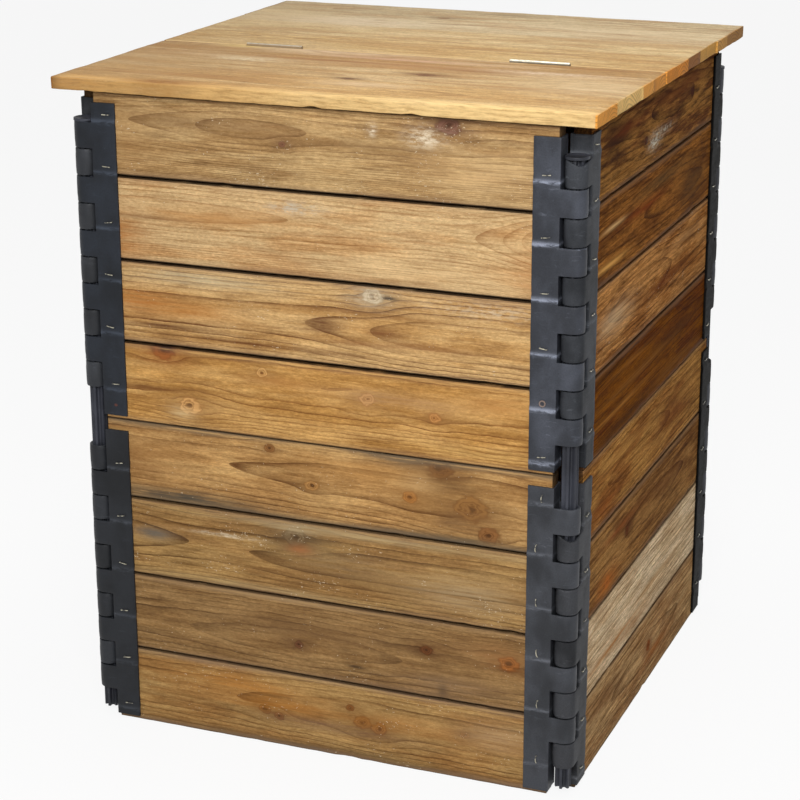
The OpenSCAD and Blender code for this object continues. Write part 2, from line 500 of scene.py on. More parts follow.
class Finish(Nodes):
    """A procedural material on one Principled surface, in the piece's own coordinates."""

    def __init__(self, name, seed=0.0):
        self.material = bpy.data.materials.new(name)
        self.material.use_nodes = True
        super().__init__(self.material.node_tree, seed)
        self.nodes.clear()
        self.surface = self.nodes.new("ShaderNodeBsdfPrincipled")
        self.out = self.nodes.new("ShaderNodeOutputMaterial")
        self.links.new(self.surface.outputs[0], self.out.inputs["Surface"])

    def relief(self, height, strength, depth):
        """Raises the surface by a bump of the given depth in metres."""
        bump = self.add("ShaderNodeBump", {}, Strength=strength, Distance=depth, Height=height)
        self.feed(self.surface.inputs["Normal"], bump)

    def coat(self, colour, roughness, metallic=0.0, sheen=0.5):
        """Sets the surface, each value a wire or a constant, and gives the material."""
        self.feed(self.surface.inputs["Base Color"], colour)
        self.feed(self.surface.inputs["Roughness"], roughness)
        self.feed(self.surface.inputs["Metallic"], metallic)
        self.feed(self.surface.inputs["Specular IOR Level"], sheen)
        return self.material


HALF_LEN = BOARD_LEN / MM / 2
HALF_WIDTH = BOARD_W / MM / 2
# How dark a year's wood is, from its pale inner edge to its dark outer one
RING = [(0.0, 0.0), (0.42, 0.05), (0.74, 0.27), (0.9, 0.72), (0.975, 1.0), (1.0, 0.82)]
CHALK = paint(222, 206, 176)
# Painted shade in the gaps between boards and between the lid's halves
SHADE_IN_GAPS = paint(34, 22, 15)
DRY_EDGE = (140, 116, 94)
SUNLIT = 1.16
# Millimetres of depth for each ring
GRAIN_TILT = 5.0
# A stain bluer than this is dust
DUST_BLUE = 159


def wavy(finish, spot, across, bow, wave):
    """The place across a board, as if its grain ran straight."""
    slow = finish.noise(spot, (170, 60, 60), detail=1.0)
    quick = finish.noise(spot, (34, 12, 12), detail=2.0)
    return across + (slow - 0.5) * (12 * bow) + (quick - 0.5) * (7 * wave)


def year_rings(finish, age):
    """Pale wood that darkens up to the sharp outer edge of each year, some years more than others."""
    own = finish.add("ShaderNodeTexWhiteNoise", {"noise_dimensions": "1D"}, W=age.maths("FLOOR", age) + finish.seed)
    return finish.ramp(age.part(), RING) * (own * 0.5 + 0.62)


def growth(finish, spot, along, bent, depth, look):
    """Rings of a board sawn off the heart: parabolas across it, which figures along it open and close."""
    from_heart = bent - look["heart"]
    age = from_heart * from_heart / look["spread"] + (depth + 10) / GRAIN_TILT
    start = 0.0
    for u, long, rings, *opens in look.get("figures", ()):
        if opens:
            near = ((along - u) / long).least(0.0)
        else:
            near = finish.away(spot, (u, 0, 0), (long, 0, 0))
        age = age - (near * near).faded() * rings
        start += rings * math.exp(-(((look["tip"] - u) / long) ** 2))
    return year_rings(finish, age + start)


def browned(level):
    """A grey level that turns brown as it darkens."""
    return (level ** 0.78, level, level ** 1.35, 1.0) if level < 1 else (level, level, level, 1.0)


def grain(finish, spot, base, late, late_tone, rough, fibre_len):
    """Rings, streaks, hairs and specks on a base colour. Gives the colour and how high the wood stands."""
    patchy = finish.noise(spot, (110, 20, 20), detail=2.0)
    streak = finish.noise(spot, (fibre_len, 3.0, 3.0), detail=4.0, roughness=0.6)
    fibre = finish.noise(spot, (fibre_len / 8, 0.8, 0.8), detail=2.0, roughness=0.75)
    speck = finish.noise(spot, (5.0, 2.4, 2.4), detail=3.0, roughness=0.72)
    late = late * patchy.between(0.34, 0.6, 0.5, 1.0)
    colour = finish.mix(late, base, late_tone)
    streaks = [(0.3, browned(1 - 0.3 * rough)), (0.5, 0.98), (0.7, 1 + 0.16 * rough)]
    hairs = [(0.28, browned(1 - 0.34 * rough)), (0.5, 1.0), (0.75, 1 + 0.24 * rough)]
    specks = [(0.27, browned(0.74)), (0.5, 0.98), (0.73, 1.26)]
    colour = finish.shaded(colour, streak, streaks)
    colour = finish.shaded(colour, fibre, hairs, 0.8)
    colour = finish.shaded(colour, speck, specks, 0.9)
    return colour, late * -0.5 + fibre * 0.4 + streak * 0.6 + speck * 0.2, streak, fibre


def with_stains_and_painted_light(finish, spot, colour, streak, stains_and_painted_light):
    """Patches of another tone, broken up along the grain: stains, and a few patches of painted shade and painted
    highlight. Pale dust lies in specks.
    """
    mottle = finish.noise(spot, (9, 4, 4), detail=3.0, roughness=0.7)
    soft = streak.between(0.3, 0.66, 0.4, 1.2)
    dusty = soft * mottle.between(0.38, 0.62, 0.2, 1.4)
    for u, v, long, wide, tone, amount in stains_and_painted_light:
        near = finish.away(spot, (u, v, 0), (long, wide, 0))
        broken = dusty if tone[2] > DUST_BLUE else soft
        share = ((near * near).faded() * broken * amount).least(1.0)
        colour = finish.mix(share, colour, paint(*tone))
    return colour


def knotted(finish, spot, colour, streak, knots):
    """Knots: a dark core, brown and pale rings, a soft rim and a warm glow along the grain."""
    ragged = finish.noise(spot, (11, 8, 8), detail=1.5, roughness=0.6, distortion=0.4)
    for u, v, size, tone, dark in knots:
        near = finish.away(spot, (u, v, 0), (size * 1.15, size * 0.88, 0)) + (ragged - 0.5) * 1.1
        deep = tuple(c * (1 - w * dark) for c, w in zip(tone, (0.52, 0.6, 0.68)))
        mid = tuple(c * (1 - w * dark) for c, w in zip(tone, (0.24, 0.3, 0.38)))
        light = tuple(min(255, c * 1.02) for c in tone)
        bands = (
            (0.0, deep), (0.1, deep), (0.24, mid), (0.36, light), (0.46, mid), (0.56, light), (0.7, tone), (0.84, mid),
            (0.95, mid),
        )
        face = finish.ramp(near / 1.12, [(at, tuple(paint(*band))) for at, band in bands])
        face = finish.shaded(face, streak, [(0.35, 0.78), (0.65, 1.15)], 0.7)
        glow = finish.away(spot, (u, v, 0), (size * 3.2, size * 1.5, 0))
        share = (glow * glow).faded() * streak.between(0.3, 0.65, 0.15, 0.75)
        colour = finish.mix(share, colour, lit(tone, 0.78))
        colour = finish.mix(near.between(0.8, 1.2, 0.95, 0.0), colour, face)
    return colour


def toned(finish, look, blotch, patch):
    """The wood between its rings: pale and warm clouds, and smaller dark and light patches."""
    colour = finish.mix(blotch.between(0.4, 0.6), paint(*look["pale"]), paint(*look["warm"]))
    drama = look.get("drama", 0.34)
    colour = finish.mix(patch.between(0.5, 0.68) * drama, colour, paint(*look["late"]))
    return finish.mix(patch.between(0.5, 0.34) * drama, colour, lit(look["pale"], SUNLIT))


def weathered_and_highlit(finish, colour, across, blotch, patch, look):
    """Greys the wood towards its long edges, and paints a pale highlight along the worn upper one."""
    worn = (across.size() + (blotch - 0.5) * 14).between(HALF_WIDTH - 9, HALF_WIDTH) * look.get("weather", 0.4)
    colour = finish.mix(worn, colour, paint(*look.get("grey", DRY_EDGE)))
    # A painted highlight on the worn upper arris, where light from above falls
    wear_and_highlight = across.between(HALF_WIDTH - 4.6, HALF_WIDTH - 3.4) * across.between(HALF_WIDTH - 1.7, HALF_WIDTH - 2.5)
    return finish.mix(wear_and_highlight * patch.between(0.42, 0.6) * 0.4, colour, lit(look["pale"], SUNLIT))


def flecked(finish, spot, colour, amount):
    """White flecks in loose crowds."""
    cast = finish.noise(spot, (60, 24, 24), detail=1.0)
    dab = finish.noise(spot, (4.2, 2.2, 2.2), detail=2.0, roughness=0.7)
    crowd = cast.between(0.48, 0.66, 0.0, 0.1) * amount
    return finish.mix((dab + crowd).between(0.735, 0.765) * 0.65, colour, CHALK)


def painted_gap_shade(finish, colour, along, across, look):
    """Painted shade in the gaps over and under a board and at its ends; on a topmost board, a painted shadow band under
    the lid.
    """
    if look["topmost"]:
        above = across.between(HALF_WIDTH - 4.4, HALF_WIDTH - 2.2) * across.between(HALF_WIDTH - 0.2, HALF_WIDTH - 0.7)
    else:
        above = across.between(HALF_WIDTH - 1.3, HALF_WIDTH - 0.4)
    gap_shade = across.between(2.5 - HALF_WIDTH, 1.2 - HALF_WIDTH).most(above) * look.get("gap_shade", 0.8)
    gap_shade = gap_shade.most(along.size().between(HALF_LEN - 1.5, HALF_LEN - 0.3) * 0.8)
    return finish.mix(gap_shade, colour, SHADE_IN_GAPS)


def wood(finish, spot, look):
    """Weathered sawn softwood. The spot is in millimetres: along the grain, across the face, and depth."""
    along, across, depth = finish.spread_out(spot)
    knots = look.get("knots", ())
    bent = wavy(finish, spot, across, look.get("bow", 0.5), look.get("wave", 0.35))
    for u, v, size, *_ in knots:
        reach = finish.away(spot, (u, v, 0), (size * 3.4, size * 2.0, 0))
        bent = bent - (across - v) * 0.85 * (reach * reach).faded()
    late = growth(finish, spot, along, bent, depth, look) * look.get("strength", 0.9)
    blotch = finish.noise(spot, (150, 26, 26), detail=3.0, roughness=0.6)
    patch = finish.noise(spot, (55, 8, 8), detail=4.0, roughness=0.65)
    base = toned(finish, look, blotch, patch)
    rough, fibres = look.get("rough", 1.0), look.get("fibres", 70)
    colour, height, streak, fibre = grain(finish, spot, base, late, paint(*look["late"]), rough, fibres)
    colour = knotted(finish, spot, colour, streak, knots)
    colour = with_stains_and_painted_light(finish, spot, colour, streak, look.get("stains_and_painted_light", ()))
    colour = weathered_and_highlit(finish, colour, across, blotch, patch, look)
    if look.get("flecks"):
        colour = flecked(finish, spot, colour, look["flecks"])
    colour = painted_gap_shade(finish, colour, along, across, look)
    finish.relief(height, 0.6, 0.0011)
    return finish.coat(colour, 0.74 + (fibre - 0.5) * 0.3, sheen=look.get("sheen", 0.12))


def board_finish(name, side, centre, look, seed):
    """The wood of one board: its own log, knots and stains."""
    finish = Finish(name, seed)
    turn = -math.radians(90 * side)
    shift = Matrix.Rotation(turn, 3, "Z") @ Vector(centre)
    spot = finish.place(-shift / MM, turn, 1 / MM)
    # The grain runs along X and the face lies across Z, so depth and width change places.
    along, depth, across = finish.spread_out(spot)
    spot = finish.add("ShaderNodeCombineXYZ", {}, along, across, depth)
    return wood(finish, spot, look)


# The looks of the boards, from the highest to the lowest. Places are millimetres from a board's middle,
# along it and up. Figures are where the rings dip: place, half length and rings. A knot has its size, tone
# and the darkness of its rim; a stain, or a patch of painted shade, has its half length, half height, tone and amount.

GREY = (120, 104, 88)
WHITE = (228, 212, 184)
BROWN = (92, 56, 28)
ORANGE = (190, 116, 46)
RUST = (120, 62, 34)
TAN = (206, 176, 132)

# Stains centred 235 to 270 mm left of a board's middle, next to the plastic, are partly dirt and partly painted shade.
FRONT_LOOKS = [
    dict(
        pale=(190, 158, 110), warm=(166, 131, 85), late=(108, 77, 47), heart=18, spread=230, tip=-238,
        figures=[(-95, 100, 1.5), (150, 260, 0.75)], bow=0.3, wave=0.25, strength=0.8, flecks=0.9, weather=0.35,
        knots=[(156, 38, 12, (122, 86, 70), 0.7), (-43, 3, 4, (128, 88, 66), 0.7)],
        stains_and_painted_light=[
            (-100, 19, 92, 11, (122, 86, 52), 0.5), (-200, 18, 50, 9, (122, 92, 60), 0.4),
            (60, 8, 120, 5, (116, 84, 50), 0.55), (128, 22, 20, 10, WHITE, 0.75), (66, 26, 5, 7, WHITE, 0.7),
            (200, -14, 80, 24, (214, 178, 128), 0.45), (154, 46, 26, 5, (74, 46, 42), 0.8),
            (-250, -10, 40, 40, (160, 116, 68), 0.4),
        ],
    ),
    dict(
        pale=(203, 171, 124), warm=(192, 150, 100), late=(139, 93, 48), heart=16, spread=260, tip=188,
        figures=[(-200, 180, 1.1), (290, 70, 4.0)], bow=0.5, wave=0.4, strength=0.75, weather=0.3, flecks=0.5,
        stains_and_painted_light=[
            (-270, -20, 44, 28, (170, 108, 50), 0.8), (-215, 4, 80, 3.5, BROWN, 0.5),
            (-120, 12, 90, 12, (186, 136, 80), 0.5), (-29, 31, 30, 7, (190, 182, 164), 0.6),
            (265, -20, 34, 34, (180, 116, 58), 0.5), (212, 20, 22, 7, (150, 98, 50), 0.5),
            (120, -30, 160, 14, (222, 188, 138), 0.4),
        ],
    ),
    dict(
        pale=(204, 166, 112), warm=(186, 143, 87), late=(93, 54, 28), heart=-2, spread=430, tip=-19,
        figures=[(130, 105, 1.91, "open")], bow=0.2, wave=0.4, strength=1.0, flecks=0.7, weather=0.45,
        knots=[(65, 37, 11, (198, 178, 146), 0.6)],
        stains_and_painted_light=[
            (-235, 2, 50, 14, (172, 106, 46), 0.7), (-160, -4, 60, 12, (176, 112, 50), 0.45),
            (2, -3, 22, 8, (92, 50, 26), 0.95), (82, -4, 22, 6, (116, 70, 38), 0.75),
            (85, 37, 9, 2.2, (44, 28, 20), 1.2), (130, -16, 50, 4, (122, 74, 38), 0.6),
            (60, -20, 60, 4, (128, 80, 42), 0.5), (62, 37, 18, 10, (220, 204, 176), 0.4),
            (205, 34, 70, 9, (218, 198, 166), 0.42), (-150, 36, 90, 9, (188, 176, 144), 0.55),
            (-190, -25, 70, 3, (84, 44, 22), 0.8), (-60, -35, 120, 3, (96, 54, 26), 0.7),
            (60, 16, 120, 3, (110, 66, 34), 0.5),
        ],
    ),
    dict(
        pale=(202, 158, 96), warm=(181, 134, 72), late=(119, 74, 33), heart=22, spread=560, tip=0,
        figures=[(20, 200, 0.5)], bow=1.0, wave=0.9, strength=0.95, weather=0.3,
        knots=[
            (-204, 45, 13, (136, 76, 38), 1.0), (-170, -20, 13, (206, 156, 96), 0.9),
            (-75, 31, 7, (208, 160, 98), 0.9), (58, 15, 9, (204, 154, 98), 0.8), (141, 2, 7, (188, 132, 74), 0.8),
        ],
        stains_and_painted_light=[
            (-235, -4, 70, 4, (100, 56, 24), 0.8), (-60, 22, 44, 8, (166, 106, 50), 0.45),
            (100, 18, 90, 10, (160, 120, 82), 0.55), (-204, 40, 24, 12, (168, 102, 50), 0.5),
            (-200, 46, 9, 4, (70, 36, 24), 1.3), (-182, -32, 18, 9, (222, 194, 144), 0.5),
            (200, -34, 90, 8, (190, 150, 86), 0.4), (220, 26, 50, 12, (178, 120, 60), 0.5),
        ],
    ),
    dict(
        pale=(194, 154, 99), warm=(174, 132, 80), late=(103, 67, 34), heart=9, spread=600, tip=-121, gap_shade=0.5,
        figures=[(60, 150, 0.79, "open")], bow=0.45, wave=0.45, strength=1.0, flecks=0.5,
        weather=0.8, grey=(104, 90, 72),
        knots=[
            (-67, 37, 6, (136, 92, 50), 0.8), (-13, -3, 8, (170, 124, 70), 0.9), (146, 40, 15, (134, 88, 42), 0.9),
            (111, 0, 8, (170, 114, 56), 0.7), (186, -4, 18, (156, 110, 58), 0.8), (208, -34, 12, (138, 92, 50), 0.8),
        ],
        stains_and_painted_light=[
            (-195, -40, 100, 9, (80, 72, 60), 0.9), (110, 44, 60, 8, (108, 94, 74), 0.7),
            (-245, -2, 60, 30, (134, 90, 48), 0.5), (122, 20, 20, 11, (212, 174, 120), 0.55),
            (60, 24, 80, 12, (190, 138, 76), 0.4), (180, -46, 90, 7, (92, 80, 60), 0.7),
            (160, 22, 30, 12, (84, 58, 36), 0.5), (165, -24, 26, 10, (96, 70, 48), 0.5),
            (186, -6, 34, 16, (120, 84, 50), 0.55), (150, 36, 34, 10, (112, 76, 44), 0.6),
        ],
    ),
    dict(
        pale=(168, 133, 82), warm=(150, 113, 67), late=(92, 64, 34), heart=3, spread=500, tip=-178, gap_shade=0.5,
        figures=[(-290, 90, 1.2), (60, 150, 0.97, "open")], bow=0.35, wave=0.5, strength=1.0, flecks=1.0, weather=0.3,
        knots=[(-36, 29, 14, (124, 102, 72), 0.9)],
        stains_and_painted_light=[
            (-226, 6, 26, 8, (104, 98, 88), 0.8), (-40, 22, 30, 14, (100, 78, 52), 0.55),
            (-132, 18, 34, 2.2, WHITE, 0.7), (-30, 14, 16, 7, (166, 104, 58), 0.7),
            (-36, 40, 26, 6, (196, 172, 132), 0.5), (60, -14, 110, 13, (118, 84, 46), 0.5),
            (180, -12, 70, 22, (168, 144, 108), 0.6), (60, 42, 220, 5, (176, 154, 114), 0.6),
            (-100, -43, 140, 4, (190, 162, 112), 0.6), (30, 4, 60, 16, (112, 96, 76), 0.4),
        ],
    ),
    dict(
        pale=(153, 120, 77), warm=(136, 103, 63), late=(81, 56, 32), heart=-8, spread=450, tip=-181, gap_shade=0.5,
        figures=[(-40, 120, 1.0)], bow=0.6, wave=0.8, strength=0.85, flecks=0.7, weather=0.3,
        knots=[
            (-34, -9, 5.5, (106, 68, 44), 0.8), (131, 11, 7, (104, 60, 30), 1.0), (234, 11, 11, (150, 90, 40), 0.9),
        ],
        stains_and_painted_light=[
            (41, -26, 12, 3, (62, 44, 28), 0.9), (152, -38, 6, 10, (66, 48, 32), 0.8),
            (160, -30, 60, 12, (150, 122, 92), 0.45), (-20, 10, 120, 14, (112, 82, 52), 0.5),
            (215, 20, 50, 14, (152, 110, 68), 0.4), (-80, 46, 160, 3, (178, 146, 100), 0.6),
        ],
    ),
    dict(
        pale=(173, 138, 86), warm=(158, 117, 67), late=(95, 63, 32), heart=8, spread=520, tip=-119, gap_shade=0.5,
        figures=[(40, 140, 1.0, "open")], bow=0.5, wave=0.6, strength=0.95, flecks=0.8, weather=0.6,
        knots=[
            (-80, -3, 7, (134, 92, 46), 0.8), (-62, -9, 6, (126, 84, 44), 0.8), (33, 19, 5, (130, 82, 40), 0.8),
            (49, 1, 10, (150, 102, 50), 0.8), (71, -3, 9, (150, 102, 50), 0.8), (181, 9, 5, (136, 94, 50), 0.6),
        ],
        stains_and_painted_light=[
            (-110, 24, 80, 12, (184, 124, 56), 0.6), (-60, 4, 60, 10, (182, 118, 46), 0.5),
            (90, 6, 60, 10, (178, 114, 50), 0.4), (220, 14, 46, 18, (182, 152, 114), 0.5),
            (0, -45, 260, 6, (92, 74, 52), 0.8), (10, -12, 90, 8, (112, 84, 70), 0.5),
        ],
    ),
]

# The right side's tones are darker and less blue than the front's: partly the wood's own, partly painted shade of a
# side turned from the lamps.
RIGHT_LOOKS = [
    dict(
        pale=(165, 117, 60), warm=(118, 73, 37), late=(52, 25, 10), heart=10, spread=500, tip=-40,
        figures=[(60, 150, 1.6)], bow=1.2, wave=0.9, drama=0.72,
        knots=[(150, 8, 7, (80, 42, 26), 0.7), (-60, -14, 6, (84, 44, 26), 0.7)],
        stains_and_painted_light=[
            # The near-black patch at -190 along is painted shadow under the lid by the corner.
            (-22, -22, 24, 9, (226, 222, 204), 0.8), (-190, 10, 50, 30, (34, 18, 10), 0.8),
            (-140, 16, 60, 7, (112, 52, 22), 0.7), (22, -16, 34, 5, (190, 180, 160), 0.7),
            (140, 26, 90, 8, (96, 42, 22), 0.7), (60, 20, 80, 6, (140, 84, 40), 0.6),
        ],
    ),
    dict(
        pale=(159, 104, 46), warm=(122, 74, 30), late=(60, 28, 9), heart=-6, spread=420, tip=-60,
        figures=[(80, 160, 1.4)], bow=1.0, wave=0.9, drama=0.56,
        stains_and_painted_light=[
            (-200, -30, 60, 4, (226, 168, 90), 0.9), (-184, 12, 40, 3, (230, 190, 130), 0.8),
            (-60, 6, 90, 6, (128, 52, 20), 0.7), (170, -10, 70, 30, (76, 56, 36), 0.6),
            (20, 24, 120, 8, (86, 70, 44), 0.6),
        ],
    ),
    dict(
        pale=(193, 138, 79), warm=(160, 104, 50), late=(86, 45, 16), heart=6, spread=460, tip=-200,
        figures=[(-60, 150, 1.8)], drama=0.56, flecks=0.8,
        stains_and_painted_light=[
            (-170, 0, 70, 16, (214, 180, 138), 0.75), (60, -10, 90, 8, (104, 50, 22), 0.7),
            (140, 24, 90, 6, (188, 140, 90), 0.6),
        ],
    ),
    dict(
        pale=(126, 74, 11), warm=(101, 52, 5), late=(52, 20, 3), heart=14, spread=300, tip=0,
        figures=[(0, 240, 1.2)], bow=0.7, wave=0.5, drama=0.4,
        stains_and_painted_light=[
            (-150, -16, 110, 3.5, (176, 118, 50), 0.8), (100, 10, 120, 10, (58, 32, 12), 0.6),
            (-100, 28, 120, 4, (150, 96, 38), 0.6), (-60, 4, 140, 5, (140, 92, 40), 0.7),
            (-180, 40, 80, 4, (44, 24, 10), 0.8), (120, -34, 120, 7, (128, 84, 36), 0.6),
            (-120, -38, 120, 6, (50, 28, 12), 0.7),
        ],
    ),
    dict(
        pale=(180, 132, 70), warm=(150, 98, 46), late=(82, 44, 19), heart=0, spread=520, tip=-180,
        figures=[(-40, 150, 1.4)],
        stains_and_painted_light=[
            (-100, 20, 110, 7, (180, 128, 66), 0.6), (120, 0, 90, 30, (112, 62, 30), 0.5),
            (-190, -26, 50, 10, (152, 84, 36), 0.6),
        ],
    ),
    dict(
        pale=(164, 121, 69), warm=(133, 91, 47), late=(73, 38, 18), heart=4, spread=480, tip=-100,
        figures=[(40, 150, 1.2)],
        knots=[(-172, -30, 10, (168, 96, 44), 0.6), (-90, 6, 7, (104, 58, 30), 0.6)],
        stains_and_painted_light=[
            (-176, -32, 40, 14, (190, 112, 46), 0.7), (80, 10, 120, 18, (100, 58, 28), 0.5),
            (-130, 22, 70, 6, (142, 74, 34), 0.6),
        ],
    ),
    dict(
        pale=(227, 204, 169), warm=(212, 184, 145), late=(161, 120, 77), heart=18, spread=300, tip=0,
        figures=[(0, 240, 1.0)], bow=0.6, wave=0.6, drama=0.4, strength=0.8, weather=0.2, flecks=0.6,
        stains_and_painted_light=[
            (-150, -24, 110, 3.5, (176, 116, 58), 0.9), (40, -10, 100, 4, (190, 142, 88), 0.7),
            (-60, -34, 80, 6, (170, 116, 66), 0.6),
        ],
    ),
    dict(
        pale=(190, 155, 108), warm=(163, 122, 78), late=(95, 63, 34), heart=0, spread=460, tip=-140,
        figures=[(20, 150, 1.2)], bow=0.8,
        knots=[(31, 2, 8, (138, 76, 34), 0.7)],
        stains_and_painted_light=[
            (60, -14, 60, 8, (160, 94, 42), 0.6), (-160, 14, 100, 14, (108, 76, 46), 0.5),
            (100, 26, 80, 5, (190, 148, 100), 0.5),
        ],
    ),
]
# What the boards of the right side share. It is seen at a low angle, where gloss would show the white studio.
RIGHT_SIDE = dict(rough=2.1, gap_shade=0.4, fibres=110, sheen=0.02, bow=0.9, wave=0.8, drama=0.48)


def hidden_look(rng):
    """A board that the photograph doesn't show: the same wood, drawn by lot."""
    tone = rng.uniform(0.8, 1.0)
    red = rng.uniform(0.0, 8.0)

    def shade(r, g, b):
        return ((r + red) * tone, g * tone, (b - red) * tone)

    def knot():
        u, v, size = rng.uniform(-230, 230), rng.uniform(-36, 36), rng.uniform(4, 11)
        return (u, v, size, shade(150, 92, 50), rng.uniform(0.5, 0.9))

    def stain():
        tone = rng.choice((ORANGE, GREY, TAN, BROWN, RUST))
        u, v, long, wide = (rng.uniform(*span) for span in ((-220, 220), (-36, 36), (40, 110), (4, 16)))
        return (u, v, long, wide, tone, rng.uniform(0.3, 0.6))

    return dict(
        pale=shade(190, 148, 94), warm=shade(170, 126, 74), late=shade(114, 76, 40),
        heart=rng.uniform(-14, 20), spread=rng.uniform(260, 600), tip=rng.uniform(-200, 0), bow=rng.uniform(0.3, 0.9),
        wave=rng.uniform(0.3, 0.7), strength=rng.uniform(0.55, 0.8), flecks=rng.choice((0, 0.03, 0.06)),
        figures=[(rng.uniform(-60, 200), rng.uniform(90, 170), rng.uniform(0.8, 1.8))],
        knots=[knot() for _ in range(rng.randint(0, 4))],
        stains_and_painted_light=[stain() for _ in range(3)],
    )


# Boards

BOARD_CUTS = 47
FACE_CUTS = 5
ARRIS = 1.5 * MM
END_ARRIS = 0.7 * MM
# How far in from its long edges a board is worn, how deep, and how deep its chips are
WEAR_REACH = 5 * MM
WEAR = 0.9 * MM
CHIP = 1.0 * MM
BOARD_LOT = 11
edge_wear = cloud("edge_wear", 0.016, 3)
edge_chips = cloud("edge_chips", 0.011, 1, (0.66, 0.78))


def sawn_board():
    """One front board round the origin, with eased edges and enough cuts along it to wear them."""
    corner = Vector((BOARD_LEN, BOARD_T, BOARD_W)) / 2
    piece = block("sawn_board", -corner, corner)
    open_up(piece)
    slice_up(piece, 0, BOARD_CUTS)
    slice_up(piece, 2, FACE_CUTS)

    def long_arris(edge):
        middle = middle_of(edge)
        return runs_along(edge, 0) and close_to(abs(middle.y), corner.y) and close_to(abs(middle.z), corner.z)

    round_off(piece, long_arris, ARRIS, 3)
    round_off(piece, lambda e: round_end(e, corner.x, 0.5), END_ARRIS, 2)
    close_up()
    return piece


def near_arris(co):
    """1 on the long edges of a board, fading to 0 a little way in."""
    from_edge = BOARD_W / 2 - abs(co.z)
    return max(0.0, 1.0 - from_edge / WEAR_REACH)


def boards():
    pattern = sawn_board()
    group_of(pattern, "arris", near_arris)
    rng = random.Random(BOARD_LOT)
    for side, side_name in enumerate(SIDES):
        for tier, tier_name in enumerate(TIERS):
            for number in BOARDS:
                name = f"{side_name}_{tier_name}_board_{number}"
                low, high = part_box(name)
                height = (number - 1) * BOARD_PITCH + BOARD_W / 2
                piece = copy_of(pattern, name + "_wood", at_side(side, tier) @ Matrix.Translation((0, 0, height)))
                wear(piece, edge_wear, WEAR, "arris")
                wear(piece, edge_chips, CHIP, "arris")
                smooth(piece)
                from_top = (1 - tier) * len(BOARDS) + len(BOARDS) - number
                if side_name == "front":
                    look = FRONT_LOOKS[from_top]
                elif side_name == "right":
                    look = {**RIGHT_SIDE, **RIGHT_LOOKS[from_top]}
                else:
                    look = hidden_look(rng)
                look = dict(look, topmost=from_top == 0)
                seed = side * 8 + tier * 4 + number
                dress(piece, board_finish(name + "_grain", side, (low + high) / 2, look, seed))
                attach(piece, side_name + "_side")
                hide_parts(name)
    throw_away(pattern)


# Plastic

RUST_TONE = paint(98, 54, 42)
PLASTIC_SHEEN = 0.24
# Millimetres: how far the painted highlight on a crease lies below its staple, and half its height
HIGHLIGHT_BELOW = 7.0
HIGHLIGHT_HALF = 2.3


def plastic_finish(name, seed, tone, scuffs, crease_highlights=(), highlight_share=0.5, rust=(), sheen=PLASTIC_SHEEN):
    """Dark recycled plastic: cloudy greys, pale scuffs, a fine grain, and a painted highlight on the crease below each
    staple.
    """
    finish = Finish(name, seed)
    spot = finish.place(scale=1 / MM)
    broad = finish.noise(spot, (60, 60, 90), detail=3.0, roughness=0.6)
    fine = finish.noise(spot, (1.6, 1.6, 1.6), detail=3.0, roughness=0.75)
    smear = finish.noise(spot, (16, 16, 5), detail=4.0, roughness=0.7, distortion=0.8)
    colour = finish.mix(broad.between(0.36, 0.64), lit(tone, 0.72), lit(tone, 1.08))
    wear_and_highlight = smear.between(0.58, 0.78) * broad.between(0.4, 0.6, 0.3, 1.0)
    colour = finish.mix(wear_and_highlight * scuffs, colour, lit(tone, 1.5, 14))
    _, _, height = finish.spread_out(spot)
    height = height + (smear - 0.5) * 9
    # A painted highlight on the crease below each staple, where the fold faces up
    for z in crease_highlights:
        near = (height - (z / MM - HIGHLIGHT_BELOW)) / HIGHLIGHT_HALF
        share = (near * near).faded() * highlight_share * smear.between(0.32, 0.62, 0.1, 1.15)
        colour = finish.mix(share, colour, lit(tone, 2, 20))
    for place in rust:
        near = finish.away(spot, place, (2.4, 0, 2.0)) + (smear - 0.5)
        colour = finish.mix(near.between(0.6, 1.1, 0.7, 0.0), colour, RUST_TONE)
    colour = finish.shaded(colour, fine, [(0.3, 0.78), (0.5, 1.0), (0.72, 1.22)], 0.8)
    finish.relief(fine * 0.4 + smear * 0.6, 0.35, 0.0007)
    roughness = 0.5 + (smear - 0.5) * 0.3 + wear_and_highlight * 0.12
    return finish.coat(colour, roughness, sheen=sheen)


# Corner strips

ROW = 5 * MM
FLANGE_COLUMNS = 6
LOOP_STEPS = 16
PLASTIC_ARRIS = 0.55 * MM
WEB_ARRIS = 0.4 * MM
WEB_CUTS = 38
# How far the web keeps from the insides of the flanges, and from the boards' ends
WEB_INSET = 0.3 * MM
WEB_CLEAR = 0.2 * MM
# How far a staple pulls the plastic in, and how far it stands out below; how far a loop swells in its middle
DENT = 0.9 * MM
DENT_REACH = 8 * MM
BULGE = 0.7 * MM
BULGE_REACH = 7 * MM
SWELLING = 1.025
WAVES = 1.0 * MM
SAG = 6 * MM
SAG_REACH = 14 * MM
STRIP_FOOT = strip_low.z
STRIP_TOP = strip_high.z


def loop_band(i):
    """Foot and top of the loop at place i of a strip."""
    low = LOOP_MARGIN + i * LOOP_PITCH + LOOP_GAP / 2
    return low, low + LOOP_PITCH - LOOP_GAP


def rows_of_strip():
    """Heights at which the plastic is cut into rows: the rims of the loops, and every few millimetres."""
    rims = [z for i in range(LOOP_PLACES) for z in loop_band(i)]
    heights = sorted(rims)
    z = STRIP_FOOT + ROW
    while z < STRIP_TOP - ROW / 2:
        if all(abs(z - rim) > ROW * 0.45 for rim in rims):
            heights.append(z)
        z += ROW
    return sorted(heights)


def press(piece, z, depth, reach):
    """Pulls the outer flange in or out at a height, softly around."""
    choose(piece, "verts", lambda v: abs(v.co.z - z) < ROW * 0.6 and abs(v.co.y + LOOP_R) < MM and v.co.x < -WEB_OUT)
    pull((0, depth, 0), reach, "SMOOTH")


